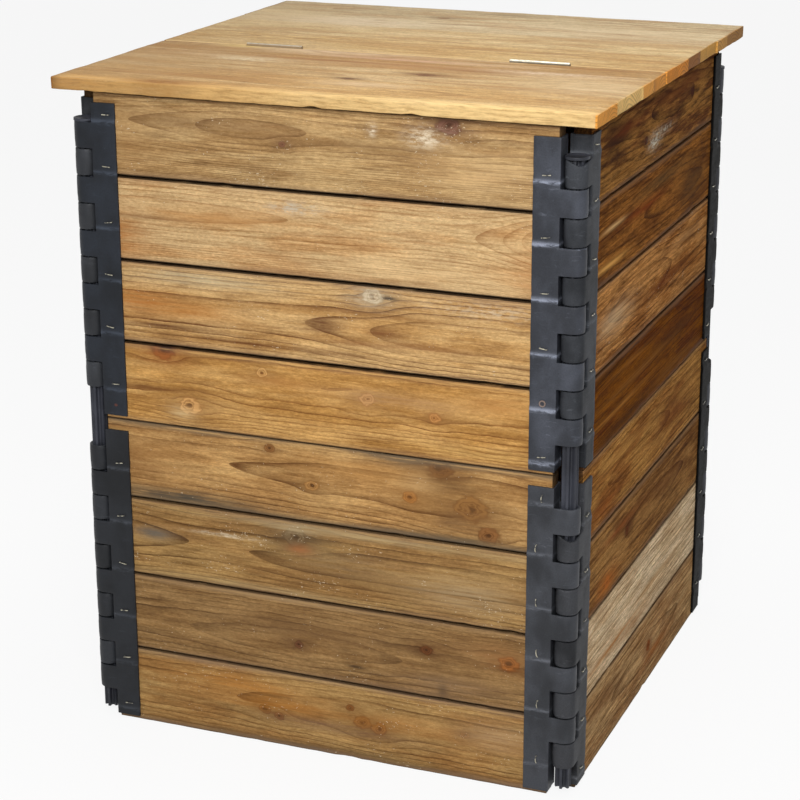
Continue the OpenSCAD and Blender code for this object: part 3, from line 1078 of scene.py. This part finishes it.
def swell(piece, z):
    """Lets the middle of a loop stand out a little round its rod."""
    choose(piece, "verts", lambda v: abs(v.co.z - z) < LOOP_PITCH * 0.28 and v.co.x > -MM)
    bpy.ops.transform.resize(value=(SWELLING, SWELLING, 1.0), center_override=(0, 0, z))


def folded_sheet():
    """A right end's plastic sheet, folded round its rod, cut into rows and columns and left open for editing."""
    height = STRIP_TOP - STRIP_FOOT
    put_down()
    middle = ((FREE_EDGE - WEB_OUT) / 2, -LOOP_R, STRIP_FOOT + height / 2)
    bpy.ops.mesh.primitive_plane_add(size=1, location=middle, rotation=(math.pi / 2, 0, 0))
    piece = bpy.context.object
    piece.name = "bent_strip"
    piece.scale = (-WEB_OUT - FREE_EDGE, height, 1)
    fix_place(piece)
    open_up(piece)

    def pull_edge(x, y, step):
        choose(piece, "edges", lambda e: close_to(middle_of(e).x, x) and close_to(middle_of(e).y, y))
        draw_out((step, 0, 0))

    pull_edge(-WEB_OUT, -LOOP_R, WEB_OUT)
    choose(piece, "edges", lambda e: close_to(middle_of(e).x, 0))
    bpy.ops.mesh.spin(steps=LOOP_STEPS, angle=-math.pi, center=(0, 0, 0), axis=(0, 0, 1))
    pull_edge(0, LOOP_R, -WEB_OUT)
    pull_edge(-WEB_OUT, LOOP_R, FREE_EDGE + WEB_OUT)
    for z in rows_of_strip():
        cut_through(2, z)
    for column in range(1, FLANGE_COLUMNS):
        cut_through(0, FREE_EDGE + (-WEB_OUT - FREE_EDGE) * column / FLANGE_COLUMNS)
    return piece


def open_slots(piece, bands):
    """Cuts the sheet away round the rod, except for the bands of its loops, and turns its faces to the front."""

    def in_a_slot(face):
        middle = face.calc_center_median()
        beyond = middle.x > -WEB_OUT + MM / 10
        return beyond and not any(low < middle.z < high for low, high in bands)

    choose(piece, "faces", in_a_slot)
    bpy.ops.mesh.delete(type="FACE")
    bpy.ops.mesh.select_all(action="SELECT")
    bpy.ops.mesh.remove_doubles(threshold=MM / 50)
    turn_out()
    mesh = bmesh.from_edit_mesh(piece.data)
    mesh.faces.ensure_lookup_table()
    front = min(mesh.faces, key=lambda f: f.calc_center_median().y)
    if front.normal.y > 0:
        bpy.ops.mesh.select_all(action="SELECT")
        bpy.ops.mesh.flip_normals()


def bent_strip(kind):
    """A right end's strip: a flange, bands round the rod at every other place, and a flange back."""
    bands = [loop_band(i) for i in range(kind, LOOP_PLACES, 2)]
    piece = folded_sheet()
    open_slots(piece, bands)
    for z in staple_heights(kind):
        press(piece, z, DENT, DENT_REACH)
        press(piece, z - DENT_REACH, -BULGE, BULGE_REACH)
    for low, high in bands:
        swell(piece, (low + high) / 2)
    close_up()
    finish_with(piece, "SOLIDIFY", thickness=STRIP_T, offset=-1.0)
    ease(piece, PLASTIC_ARRIS)
    return piece


def web_plate():
    """The plate between the flanges, over the ends of the boards."""
    half = BOARD_T / 2 + WEB_INSET
    low = (-WEB_OUT - WEB_T, -half, STRIP_FOOT + WEB_ARRIS)
    high = (-WEB_OUT - WEB_CLEAR, half, STRIP_TOP - WEB_ARRIS)
    piece = block("web_plate", low, high)
    open_up(piece)
    slice_up(piece, 2, WEB_CUTS)
    close_up()
    ease(piece, WEB_ARRIS, segments=1)
    return piece


strip_waves = cloud("strip_waves", 0.07, 1)

# Tone, scuffs and how bright the painted crease highlights are, for the strips that the photograph shows, if only in
# part
# The tones differ from strip to strip as painted light and shade: palest at the front right, darker on the left,
# darkest at the far right.
STRIP_LOOKS = {
    ("front", "upper", "right"): ((65, 68, 76), 0.8, 0.75),
    ("front", "lower", "right"): ((59, 61, 66), 0.6, 0.3),
    ("front", "upper", "left"): ((32, 36, 43), 0.5, 0.4),
    ("front", "lower", "left"): ((32, 34, 38), 0.5, 0.4),
    ("left", "upper", "right"): ((50, 52, 56), 0.6, 0.3),
    ("left", "lower", "right"): ((42, 44, 48), 0.5, 0.3),
    ("right", "upper", "left"): ((59, 61, 65), 0.7, 0.3),
    ("right", "lower", "left"): ((60, 61, 64), 0.7, 0.3),
    ("right", "upper", "right"): ((20, 19, 18), 0.4, 0.2),
    ("right", "lower", "right"): ((20, 19, 18), 0.4, 0.2),
}
HIDDEN_STRIP = ((58, 60, 66), 0.5, 0.3)
# The right side is seen at a low angle, where more gloss would show the white studio
RIGHT_SHEEN = {"left": 0.06, "right": 0.02}
RUST_SPOTS = {"front_upper_strip_left": [(-269, 0, 418)]}


def nick_rim(piece, place, kind):
    """Lets the top rim of the topmost loop sag to a point on its outer side."""
    top = loop_band(LOOP_PLACES - 2 + kind)[1]
    outer = place @ Vector((LOOP_R * 0.8, -LOOP_R * 0.6, top))
    open_up(piece)
    choose(piece, "verts", lambda v: (v.co - outer).length < 5 * MM and v.co.z > outer.z - MM)
    pull((0, 0, -SAG), SAG_REACH, "LINEAR")
    close_up()


def strips():
    patterns = [joined([bent_strip(kind), web_plate()], "corner_strip") for kind in (0, 1)]
    for side, side_name in enumerate(SIDES):
        for tier, tier_name in enumerate(TIERS):
            for end, end_name in enumerate(ENDS):
                name = f"{side_name}_{tier_name}_strip_{end_name}"
                kind = (tier + end) % 2
                place = at_side(side, tier) @ at_end(end)
                piece = copy_of(patterns[kind], name + "_plastic", place)
                if side_name == "right" and end_name == "left":
                    nick_rim(piece, place, kind)
                across = "Y" if side_name in ("front", "back") else "X"
                finish_with(
                    piece, "DISPLACE", texture=strip_waves, strength=WAVES, mid_level=0.5, direction=across,
                    texture_coords="LOCAL"
                )
                smooth(piece)
                crease_highlights = [tier * TIER_H + z for z in staple_heights(kind)]
                tone, scuffs, highlight_share = STRIP_LOOKS.get((side_name, tier_name, end_name), HIDDEN_STRIP)
                rust = RUST_SPOTS.get(name, ())
                seed = side * 4 + tier * 2 + end + 1
                sheen = RIGHT_SHEEN[end_name] if side_name == "right" else PLASTIC_SHEEN
                dress(piece, plastic_finish(name + "_skin", seed, tone, scuffs, crease_highlights, highlight_share, rust, sheen))
                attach(piece, side_name + "_side")
                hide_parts(name)
    for pattern in patterns:
        throw_away(pattern)


# Rods

ROD_POINTS = 36
POINTS_PER_RIDGE = 6
RIDGE_ARRIS = 0.45 * MM
HEAD_ARRIS = 0.8 * MM
# A head is dished: its flat rim, the slope inside it and its depth
HEAD_RIM = 2.2 * MM
HEAD_SLOPE = 1.2 * MM
HEAD_DISH = 0.8 * MM
ROD_TONE = (58, 60, 68)
ROD_SEED = 30


def ridged_rod():
    """A rod round the origin with six ridges, and its flat head."""
    foot, top = rods_low.z, rods_high.z - HEAD_T
    put_down()
    bpy.ops.mesh.primitive_circle_add(vertices=ROD_POINTS, radius=ROD_CORE_R, location=(0, 0, foot))
    piece = bpy.context.object
    piece.name = "ridged_rod"
    fix_place(piece)
    open_up(piece)
    mesh = bmesh.from_edit_mesh(piece.data)
    mesh.verts.ensure_lookup_table()
    tips = {i for i in range(ROD_POINTS) if i % POINTS_PER_RIDGE in (0, 1, POINTS_PER_RIDGE - 1)}
    choose(piece, "verts", lambda v: v.index in tips)
    grow = ROD_R / ROD_CORE_R
    bpy.ops.transform.resize(value=(grow, grow, 1), center_override=(0, 0, foot))
    choose(piece, "verts", lambda v: True)
    bpy.ops.mesh.edge_face_add()
    draw_out((0, 0, top - foot))
    turn_out()
    close_up()
    ease(piece, RIDGE_ARRIS, degrees=40)
    put_down()
    bpy.ops.mesh.primitive_cylinder_add(vertices=40, radius=HEAD_R, depth=HEAD_T, location=(0, 0, top + HEAD_T / 2))
    head = fix_place(bpy.context.object)
    open_up(head)
    choose(head, "faces", lambda f: f.normal.z > 0.9)
    dish(HEAD_RIM, HEAD_SLOPE, HEAD_DISH)
    close_up()
    ease(head, HEAD_ARRIS, segments=3)
    return joined([piece, head], "ridged_rod")


def rods():
    pattern = ridged_rod()
    for side, half in ((0, "front"), (2, "back")):
        pair = [copy_of(pattern, f"{half}_rod", at_side(side) @ at_end(end)) for end in (0, 1)]
        piece = joined(pair, f"{half}_rods_plastic")
        smooth(piece)
        dress(piece, plastic_finish(f"{half}_rods_skin", ROD_SEED + side, ROD_TONE, 0.35))
        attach(piece, half + "_side")
        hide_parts(half + "_rods")
    throw_away(pattern)


# Staples

WIRE_ARRIS = 0.3 * MM
WIRE_BOW = 0.25 * MM
NAIL_ARRIS = 0.2 * MM
NAIL_RIM = 0.9 * MM
NAIL_SLOPE = 1.2 * MM
NAIL_DISH = 0.4 * MM
STAPLE_CUTS = 7
STAPLE_CURL = 1.2 * MM
STAPLE_TONE = (196, 190, 170)
STAPLE_DIRT = paint(50, 50, 52)
# How unevenly the staples sit: degrees of tilt, and metres along the flange
STAPLE_TILT = 9
STAPLE_STRAY = 1 * MM
STAPLE_LOT = 5
STAPLE_SEED = 40
NAIL_SEED = 47


def steel_finish(name, seed, tone, roughness, worn=0.3, dirt=0.0):
    """Bright metal with fine scratches, a dull bloom and, on the staples, patches of dirt."""
    finish = Finish(name, seed)
    spot = finish.place(scale=1 / MM)
    scratch = finish.noise(spot, (9, 0.5, 0.5), detail=2.0, roughness=0.7)
    bloom = finish.noise(spot, (7, 7, 7), detail=3.0)
    colour = finish.mix(bloom.between(0.4, 0.7) * worn * 2, paint(*tone), lit(tone, 0.72))
    finish.relief(scratch, 0.15, 0.0002)
    if not dirt:
        return finish.coat(colour, roughness + (bloom - 0.5) * 0.25, 1.0)
    patch = finish.noise(spot, (3.2, 3.2, 3.2), detail=1.0).between(0.48, 0.56) * dirt
    colour = finish.mix(patch, colour, STAPLE_DIRT)
    return finish.coat(colour, roughness + (bloom - 0.5) * 0.25, 1.0 - patch)


def nail_finish(name, seed, centre):
    """A dull nail's head: a brown rim round a dark dish."""
    finish = Finish(name, seed)
    spot = finish.place(scale=1 / MM)
    bloom = finish.noise(spot, (2, 2, 2), detail=3.0)
    head = NAIL_HEAD_R / MM
    out = finish.away(spot, centre, (head, 0, head)) + (bloom - 0.5) * 0.2
    colour = finish.mix(out.between(0.5, 0.75), paint(52, 52, 58), paint(130, 112, 102))
    finish.relief(bloom, 0.2, 0.0003)
    return finish.coat(colour, 0.5 + (bloom - 0.5) * 0.2, 0.4)


def wire_staple(curl=0.0):
    """One staple of a right end: the crown lies on the flange and the legs go into the wood."""
    crown_y = -LOOP_R - WIRE_T
    piece = block("wire_staple", (-STAPLE_W / 2, crown_y, -WIRE_W / 2), (STAPLE_W / 2, -LOOP_R, WIRE_W / 2))
    open_up(piece)
    slice_up(piece, 0, STAPLE_CUTS)
    for x in (-1, 1):
        choose(piece, "faces", lambda f: f.normal.y > 0.9 and x * f.calc_center_median().x > STAPLE_W * 0.43)
        draw_out((0, LEG_LEN, 0))
    choose(piece, "verts", lambda v: abs(v.co.x) < STAPLE_W * 0.1 and v.co.y < -LOOP_R + WIRE_T)
    pull((0, -WIRE_BOW, curl), STAPLE_W * 0.45, "SPHERE")
    close_up()
    ease(piece, WIRE_ARRIS, degrees=40)
    return piece


def round_nail():
    """The one nail, with a dished head."""
    put_down()
    place = (0, -LOOP_R - WIRE_T / 2, 0)
    bpy.ops.mesh.primitive_cylinder_add(
        vertices=32, radius=NAIL_HEAD_R, depth=WIRE_T, rotation=(math.pi / 2, 0, 0), location=place
    )
    head = fix_place(bpy.context.object)
    head.name = "round_nail"
    open_up(head)
    choose(head, "faces", lambda f: f.normal.y < -0.9)
    dish(NAIL_RIM, NAIL_SLOPE, NAIL_DISH)
    choose(head, "faces", lambda f: f.normal.y > 0.9)
    bpy.ops.mesh.inset(thickness=NAIL_HEAD_R - NAIL_R)
    draw_out((0, LEG_LEN, 0))
    close_up()
    ease(head, NAIL_ARRIS, degrees=40)
    return head


# The strip whose staples stand upright, as side, tier and end, and the nail, which also has its number
UPRIGHT_STRIP = ("front", 0, 1)
NAIL_PLACE = ("front", 1, 1, 1)
# How many millimetres the front's staples are from their rods, from the foot up, by tier and end
STAPLES_IN = {
    (0, 1): (29, 29, 30.5, 32.5, 34, 28),
    (1, 0): (32, 28, 29.5, 32, 32, 34),
    (0, 0): (31, 31, 30, 31, 31, 32),
    (1, 1): (30, 30, 30, 30, 30, 30),
}


def staple_place(strip, number, z, rng):
    """Where a staple sits on a right end: drawn by lot, but on the front as far in as measured."""
    tilt = Matrix.Rotation(math.radians(rng.uniform(-STAPLE_TILT, STAPLE_TILT)), 4, "Y")
    x = STAPLE_IN + rng.uniform(-1, 1) * STAPLE_STRAY
    side_name, tier, end = strip
    if side_name == "front":
        x = STAPLES_IN[tier, end][number] * MM
    place = Matrix.Translation((-x, 0, z))
    if strip == UPRIGHT_STRIP:
        place = place @ Matrix.Rotation(math.pi / 2, 4, "Y")
    return place @ tilt


def staples():
    level, upright, nail = wire_staple(), wire_staple(-STAPLE_CURL), round_nail()
    nail_at = ((ROD_X - STAPLE_IN) / MM, 0, (TIER_H + staple_heights(0)[1]) / MM)
    dress(nail, nail_finish("nail_steel", NAIL_SEED, nail_at))
    rng = random.Random(STAPLE_LOT)
    for side, side_name in enumerate(SIDES):
        skin = steel_finish(side_name + "_staples_steel", STAPLE_SEED + side, STAPLE_TONE, 0.34, 0.5, 0.85)
        wires = []
        for tier, end in ((0, 0), (0, 1), (1, 0), (1, 1)):
            strip = (side_name, tier, end)
            foot = at_side(side, tier) @ at_end(end)
            for number, z in enumerate(staple_heights((tier + end) % 2)):
                place = staple_place(strip, number, z, rng)
                if (*strip, number) == NAIL_PLACE:
                    wires.append(copy_of(nail, "nail", foot @ Matrix.Translation((-STAPLE_IN, 0, z))))
                    continue
                wire = copy_of(upright if strip == UPRIGHT_STRIP else level, "wire", foot @ place)
                dress(wire, skin)
                wires.append(wire)
        piece = joined(wires, side_name + "_staples_wire")
        smooth(piece)
        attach(piece, side_name + "_side")
        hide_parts(side_name + "_staples")
    for pattern in (level, upright, nail):
        throw_away(pattern)


# Lid

LID_CUTS = 55
LID_CELL = 15 * MM
LID_ROUND = 2.5 * MM
LID_END_ARRIS = 1.2 * MM
# Half the width of the step between two staves in millimetres, how far steps keep from the long edges, and how
# far in from its end a stave is drawn back
SEAM = 0.2
SEAM_KEEP = 5 * MM
STAVE_REACH = 3 * MM
# How far in the lid's rim and its front underside are worn, and how deep
RIM_REACH = 6 * MM
RIM_WEAR = 2.2 * MM
UNDER_REACH = 7 * MM
UNDER_CHIPS = 3.5 * MM
UNDER_H = 5 * MM
LID_LOT = 3
LID_SEEDS = {"lid_front_half": 61, "lid_rear_half": 67}
# In millimetres: the width of a stave, and the breadth that the ramps over the staves cover
STAVE_W = 98.0
LID_SPAN = 700.0
# y of the front edge of a stave, in millimetres, how much shorter it is than the longest, and its end grain's tone
STAVE_ENDS = (
    (-400, 0.4, (236, 162, 71)), (-255, 1.6, (250, 205, 127)), (-150, 1.2, (239, 167, 79)), (-104, 1.6, (232, 156, 67)),
    (-49, 1.0, (223, 142, 51)), (50, 2.2, (152, 98, 44)), (110, 2.6, (219, 164, 81)), (190, 0.0, (208, 154, 79)),
    (240, 0.0, (168, 120, 59)),
)
lid_wear = cloud("lid_wear", 0.03, 3)
lid_chips = cloud("lid_chips", 0.013, 2, (0.6, 0.76))


def shorten_staves(piece, lid_end):
    """While a half of the lid is edited, draws the ends of its shorter staves back on both sides."""
    starts = [y for y, _, _ in STAVE_ENDS]
    for (y, short, _), beyond in zip(STAVE_ENDS, starts[1:] + [LID_SPAN]):
        for end in (-1, 1):
            choose(piece, "verts", lambda v: y < v.co.y / MM < beyond and end * v.co.x > lid_end - STAVE_REACH)
            bpy.ops.transform.translate(value=(-end * short * MM, 0, 0))


def lid_board(name):
    """One half of the lid, with rounded long edges and worn arrises."""
    low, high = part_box(name)
    piece = block(name + "_wood", low, high)
    open_up(piece)
    slice_up(piece, 0, LID_CUTS)
    slice_up(piece, 1, round((high.y - low.y) / LID_CELL))

    def long_arris(edge):
        middle = middle_of(edge)
        at_y = close_to(middle.y, low.y) or close_to(middle.y, high.y)
        at_z = close_to(middle.z, low.z) or close_to(middle.z, high.z)
        return runs_along(edge, 0) and at_y and at_z

    for y, _, _ in STAVE_ENDS:
        if low.y + SEAM_KEEP < y * MM < high.y - SEAM_KEEP:
            cut_through(1, (y - SEAM) * MM)
            cut_through(1, (y + SEAM) * MM)
    round_off(piece, long_arris, LID_ROUND, 4)
    round_off(piece, lambda e: round_end(e, high.x, 0.4), LID_END_ARRIS, 2)
    shorten_staves(piece, high.x)
    close_up()

    def outer_edge(co):
        from_x = high.x - abs(co.x)
        outer = low.y if name == "lid_front_half" else high.y
        from_y = abs(co.y - outer)
        return max(0.0, 1.0 - min(from_x, from_y) / RIM_REACH)

    def under_front(co):
        if name != "lid_front_half" or co.z > low.z + UNDER_H:
            return 0.0
        return max(0.0, 1.0 - (co.y - low.y) / UNDER_REACH)

    group_of(piece, "rim", outer_edge)
    group_of(piece, "under", under_front)
    wear(piece, lid_wear, RIM_WEAR, "rim")
    wear(piece, lid_chips, UNDER_CHIPS, "under")
    return piece


# y of the front edge of a stave, in millimetres, its tone, and how far its heart is from its middle
LID_STAVES = [
    (-330, (194, 159, 105), 8),
    (-232, (191, 162, 115), -20),
    (-150, (183, 152, 107), 12),
    (-104, (168, 135, 87), 2),
    (-49, (197, 167, 115), 24),
    (50, (204, 180, 134), -14),
    (143, (202, 186, 150), 10),
    (240, (188, 172, 137), -8),
]
# On the lid, places are millimetres from its middle
LID_STAINS_AND_HIGHLIGHTS = [
    (-328, -330, 9, 8, (84, 52, 28), 1.4), (-296, -330, 40, 3, (150, 98, 46), 0.8),
    (326, -324, 6, 14, (190, 136, 78), 0.5), (-330, -200, 150, 120, (160, 124, 78), 0.5),
    # The golden and pale bands along the front edge, at -322 and -324 across, are partly painted highlight on its
    # rounded edge.
    (-200, -322, 200, 12, (206, 158, 92), 0.8), (200, -324, 260, 12, (236, 202, 140), 0.9),
    (-192, -318, 44, 12, (136, 92, 44), 1.0), (-180, -270, 120, 12, (150, 106, 58), 0.7),
    (-170, -143, 40, 12, (214, 196, 162), 0.7), (-211, -58, 30, 8, (210, 182, 98), 0.7),
    (-31, -118, 130, 6, (132, 86, 42), 0.9), (60, -120, 120, 18, (168, 122, 74), 0.6),
    (74, -168, 30, 6, (112, 74, 42), 0.8), (121, -128, 60, 8, (132, 90, 50), 0.7),
    (-84, -60, 120, 14, (212, 184, 150), 0.7), (11, -84, 110, 6, (200, 160, 134), 0.8),
    (204, -112, 70, 9, (216, 192, 166), 0.7), (32, -253, 60, 12, (214, 186, 150), 0.6),
    (-1, -222, 14, 4, (104, 72, 44), 0.8), (-168, 180, 120, 34, (208, 186, 158), 0.6),
    (13, 300, 60, 12, (126, 104, 72), 0.7), (220, -66, 140, 4, (132, 90, 50), 0.6),
    (280, -180, 90, 50, (216, 190, 150), 0.5), (-290, 200, 90, 90, (180, 150, 104), 0.5),
    (200, 210, 160, 60, (202, 178, 142), 0.5), (100, 20, 260, 6, (160, 122, 80), 0.5),
    (-60, 90, 240, 5, (166, 130, 86), 0.5), (240, 120, 140, 5, (168, 132, 90), 0.5),
    (-260, -90, 90, 6, (146, 106, 62), 0.6), (150, -210, 160, 5, (170, 126, 76), 0.6),
]
LID_KNOTS = [(-1, -224, 7, (132, 96, 62), 0.8), (74, -170, 9, (126, 84, 48), 0.7), (-60, 246, 8, (140, 108, 74), 0.5)]


def lid_share(y):
    """Where a place across the lid lies in the ramps over its staves."""
    return (y + LID_SPAN / 2) / LID_SPAN


def sawn_ends(finish, colour, share, along, height, late, blotch):
    """The end grain of the staves, darker on the left."""
    stops = [(max(0.0, lid_share(y)), short, tone) for y, short, tone in STAVE_ENDS]
    shorter = finish.ramp(share, [(at, short / 4) for at, short, _ in stops], "CONSTANT") * 4
    end = (along.size() + shorter).between(LID_END / MM - 3.6, LID_END / MM - 3.0)
    top, foot = lid_high.z / MM, lid_low.z / MM
    end = end * height.between(top - 0.3, top - 1.2) * height.between(foot, foot + 1)
    sawn = finish.ramp(share, [(at, tuple(paint(*tone))) for at, _, tone in stops], "CONSTANT")
    sawn = finish.mix(late * 0.75, sawn, paint(96, 56, 24))
    sawn = finish.mix(along.between(10.0, -10.0) * 0.75, sawn, paint(112, 76, 42))
    sawn = finish.shaded(sawn, blotch, [(0.3, 0.82), (0.7, 1.15)], 0.8)
    return finish.mix(end, colour, sawn)


def lid_finish(name, seed):
    """Edge-glued staves: one pattern, moved and toned from stave to stave."""
    finish = Finish(name, seed)
    spot = finish.place(scale=1 / MM)
    along, across, height = finish.spread_out(spot)
    share = lid_share(across)
    rng = random.Random(LID_LOT)
    tones = [(lid_share(y), tuple(paint(*tone))) for y, tone, _ in LID_STAVES]
    hearts = [(lid_share(y), (rng.random(), lid_share(y + STAVE_W / 2 + heart), 0, 1)) for y, _, heart in LID_STAVES]
    tone = finish.ramp(share, tones, "CONSTANT")
    lot, heart, _ = finish.spread_out(finish.ramp(share, hearts, "CONSTANT"))
    depth = height - cad_high.z / MM
    own_spot = finish.add("ShaderNodeCombineXYZ", {}, along + lot * 900, across + lot * 470, depth)

    bent = wavy(finish, own_spot, across - (heart * LID_SPAN - LID_SPAN / 2), 0.9, 0.5)
    figure = finish.noise(own_spot, (240, 70, 70), detail=1.0)
    late = year_rings(finish, bent * bent / 330 + depth / GRAIN_TILT + (figure - 0.5) * 5 + lot * 10)
    blotch = finish.noise(own_spot, (150, 22, 22), detail=3.0, roughness=0.6)
    mottle = finish.noise(own_spot, (15, 6, 6), detail=4.0, roughness=0.75)
    base = finish.mix(blotch.between(0.4, 0.66) * 0.55, tone, paint(160, 116, 66))
    base = finish.mix(blotch.between(0.5, 0.34) * 0.45, base, paint(206, 178, 138))
    base = finish.shaded(base, along.between(-330.0, 60.0), [(0.0, 0.86), (1.0, 1.06)])
    colour, relief, streak, fibre = grain(finish, own_spot, base, late * 0.65, paint(128, 88, 46), 0.8, 24)
    colour = finish.shaded(colour, mottle, [(0.3, 0.82), (0.5, 1.0), (0.7, 1.14)])
    colour = knotted(finish, spot, colour, streak, LID_KNOTS)
    colour = with_stains_and_painted_light(finish, spot, colour, streak, LID_STAINS_AND_HIGHLIGHTS)

    # Paler along the split between the halves, and painted shade in the gap itself
    from_split = (across - SPLIT_Y / MM).size()
    colour = finish.mix(from_split.between(3.6, 2.4) * 0.6, colour, paint(222, 190, 138))
    colour = finish.mix(from_split.between(2.0, 1.4) * 0.8, colour, SHADE_IN_GAPS)
    colour = sawn_ends(finish, colour, share, along, height, late, blotch)
    finish.relief(relief, 0.5, 0.0011)
    return finish.coat(colour, 0.66 + (fibre - 0.5) * 0.3, sheen=0.15)


def cut_hinge_seats(piece, name):
    """Cuts the grooves and mortises of the two hinges into one half."""
    half = HINGE_LEN / 2 + HINGE_GAP
    reach = LID_GAP / 2 + LEAF_T
    low_y, high_y = (-reach, MM) if name == "lid_front_half" else (-MM, reach)
    for x in (-HINGE_IN, HINGE_IN):
        put_down()
        bpy.ops.mesh.primitive_cylinder_add(
            vertices=32, radius=BARREL_R + HINGE_GAP, depth=2 * half,
            location=(x, SPLIT_Y, BARREL_Z), rotation=(0, math.pi / 2, 0),
        )
        groove = fix_place(bpy.context.object)
        low = (x - half, SPLIT_Y + low_y, leaf_low.z)
        mortise = block("mortise", low, (x + half, SPLIT_Y + high_y, BARREL_Z + MORTISE_ABOVE))
        for cutter in (groove, mortise):
            finish_with(piece, "BOOLEAN", object=cutter, operation="DIFFERENCE", solver="EXACT")
            throw_away(cutter)


def lid():
    for name, body in (("lid_front_half", "lid_flap"), ("lid_rear_half", "lid_rear")):
        piece = lid_board(name)
        cut_hinge_seats(piece, name)
        smooth(piece)
        dress(piece, lid_finish(name + "_grain", LID_SEEDS[name]))
        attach(piece, body)
        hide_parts(name)


ZINC = (216, 210, 190)
SCREW_TONE = (214, 216, 222)
HINGE_SEED = 50


def barrel_finish(name, seed, tone):
    """Zinc on a barrel, with painted shade on its lower part, where it sinks into the groove in the lid."""
    finish = Finish(name, seed)
    spot = finish.place(scale=1 / MM)
    along, _, height = finish.spread_out(spot)
    bloom = finish.noise(spot, (6, 2, 2), detail=3.0)
    left = along.between(10.0, -10.0)
    bare = finish.mix(left, paint(*tone), paint(178, 168, 150))
    colour = finish.mix(bloom.between(0.4, 0.65) * 0.6, bare, lit(tone, 0.6))
    # Painted shade on the barrel's lower part, in the groove, darker on the left
    groove_shade = (height + (bloom - 0.5) * 1.2 - left * 0.9).between(BARREL_Z / MM + 1.5, BARREL_Z / MM + 0.5)
    colour = finish.mix(groove_shade * 0.85, colour, finish.mix(left, paint(84, 72, 56), paint(138, 114, 80)))
    finish.relief(bloom, 0.2, 0.0003)
    return finish.coat(colour, 0.36 + groove_shade * 0.4, 1.0 - groove_shade)


def hinges():
    """The leaves, pins and screws keep their shape, and get bright zinc."""
    for number, half in enumerate(("front", "rear")):
        leaves, screws = f"hinge_{half}_leaves", f"hinge_{half}_screws"
        dress(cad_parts[leaves], barrel_finish(leaves + "_zinc", HINGE_SEED + number, ZINC))
        dress(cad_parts[screws], steel_finish(screws + "_zinc", HINGE_SEED + 2 + number, SCREW_TONE, 0.3))


# Studio

FLOOR_WIDTH = 40
FLOOR_GREY = (0.8, 0.8, 0.8, 1)
FLOOR_GLOW = 0.9
SKY = 0.2
# Name, place, what it shines on, width in metres and power in watts
LAMPS = (
    ("key", (0.75, -2.2, 1.8), (0.1, -0.2, 0.5), 1.1, 48),
    ("top", (0.1, 0.1, 2.9), (0, 0, 0.5), 1.6, 34),
)
# The camera fitted to the photograph: degrees, millimetres of lens, and its place in metres
VIEW_AZIMUTH = 21.729
VIEW_ELEVATION = 18.312
VIEW_ROLL = -0.135
VIEW_LENS = 99.35
VIEW_PLACE = (0.984553, -2.537105, 1.259376)


def pale_floor():
    """A floor that fades into white."""
    put_down()
    bpy.ops.mesh.primitive_plane_add(size=FLOOR_WIDTH, location=(0, 0, cad_low.z))
    floor = bpy.context.object
    floor.name = "floor"
    finish = Finish("pale_floor")
    finish.coat(FLOOR_GREY, 0.9)
    glow = finish.nodes.new("ShaderNodeEmission")
    glow.inputs["Color"].default_value = (1, 1, 1, 1)
    glow.inputs["Strength"].default_value = 1.0
    blend = finish.nodes.new("ShaderNodeMixShader")
    finish.feed(blend.inputs[0], seen_directly(finish) * FLOOR_GLOW)
    finish.links.new(finish.surface.outputs[0], blend.inputs[1])
    finish.links.new(glow.outputs[0], blend.inputs[2])
    finish.links.new(blend.outputs[0], finish.out.inputs["Surface"])
    floor.data.materials.append(finish.material)


def soft_sky():
    """Pale light from all around, before which the piece is seen on white."""
    world = bpy.data.worlds.new("studio")
    bpy.context.scene.world = world
    world.use_nodes = True
    sky = Nodes(world.node_tree)
    ground = sky.nodes["Background"]
    ground.inputs["Color"].default_value = (1, 1, 1, 1)
    sky.feed(ground.inputs["Strength"], SKY + (1 - SKY) * seen_directly(sky))


def seen_directly(finish):
    """1 for rays from the camera and for what gloss or glass shows of the background."""
    path = finish.nodes.new("ShaderNodeLightPath")
    rays = ("Is Camera Ray", "Is Glossy Ray", "Is Transmission Ray")
    camera, glossy, clear = (Wire(finish, path.outputs[name]) for name in rays)
    return camera.most(glossy).most(clear)


def lamp(name, place, target, width, power):
    """A round soft lamp that shines on a target."""
    light = bpy.data.lights.new(name, "AREA")
    light.shape = "DISK"
    light.size = width
    light.energy = power
    holder = bpy.data.objects.new(name, light)
    bpy.context.scene.collection.objects.link(holder)
    holder.location = place
    holder.rotation_euler = (Vector(target) - Vector(place)).to_track_quat("-Z", "Y").to_euler()


def camera():
    """The photograph's view: 800 by 800 pixels, with the principal point in the middle."""
    view = bpy.data.cameras.new("camera")
    view.sensor_width = 36.0
    view.lens = VIEW_LENS
    view.clip_end = 60
    holder = bpy.data.objects.new("camera", view)
    bpy.context.scene.collection.objects.link(holder)
    azimuth, elevation, roll = (math.radians(angle) for angle in (VIEW_AZIMUTH, VIEW_ELEVATION, VIEW_ROLL))
    level = Vector((math.sin(azimuth), -math.cos(azimuth), 0))
    back = level * math.cos(elevation) + Vector((0, 0, math.sin(elevation)))
    right = Vector((math.cos(azimuth), math.sin(azimuth), 0))
    up = back.cross(right)
    right, up = right * math.cos(roll) + up * math.sin(roll), up * math.cos(roll) - right * math.sin(roll)
    turn = Matrix((right, up, back)).transposed().to_4x4()
    holder.matrix_world = Matrix.Translation(VIEW_PLACE) @ turn
    bpy.context.scene.camera = holder


bpy.context.scene.view_settings.view_transform = "Standard"
camera()
pale_floor()
soft_sky()
for row in LAMPS:
    lamp(*row)
boards()
strips()
rods()
staples()
lid()
hinges()
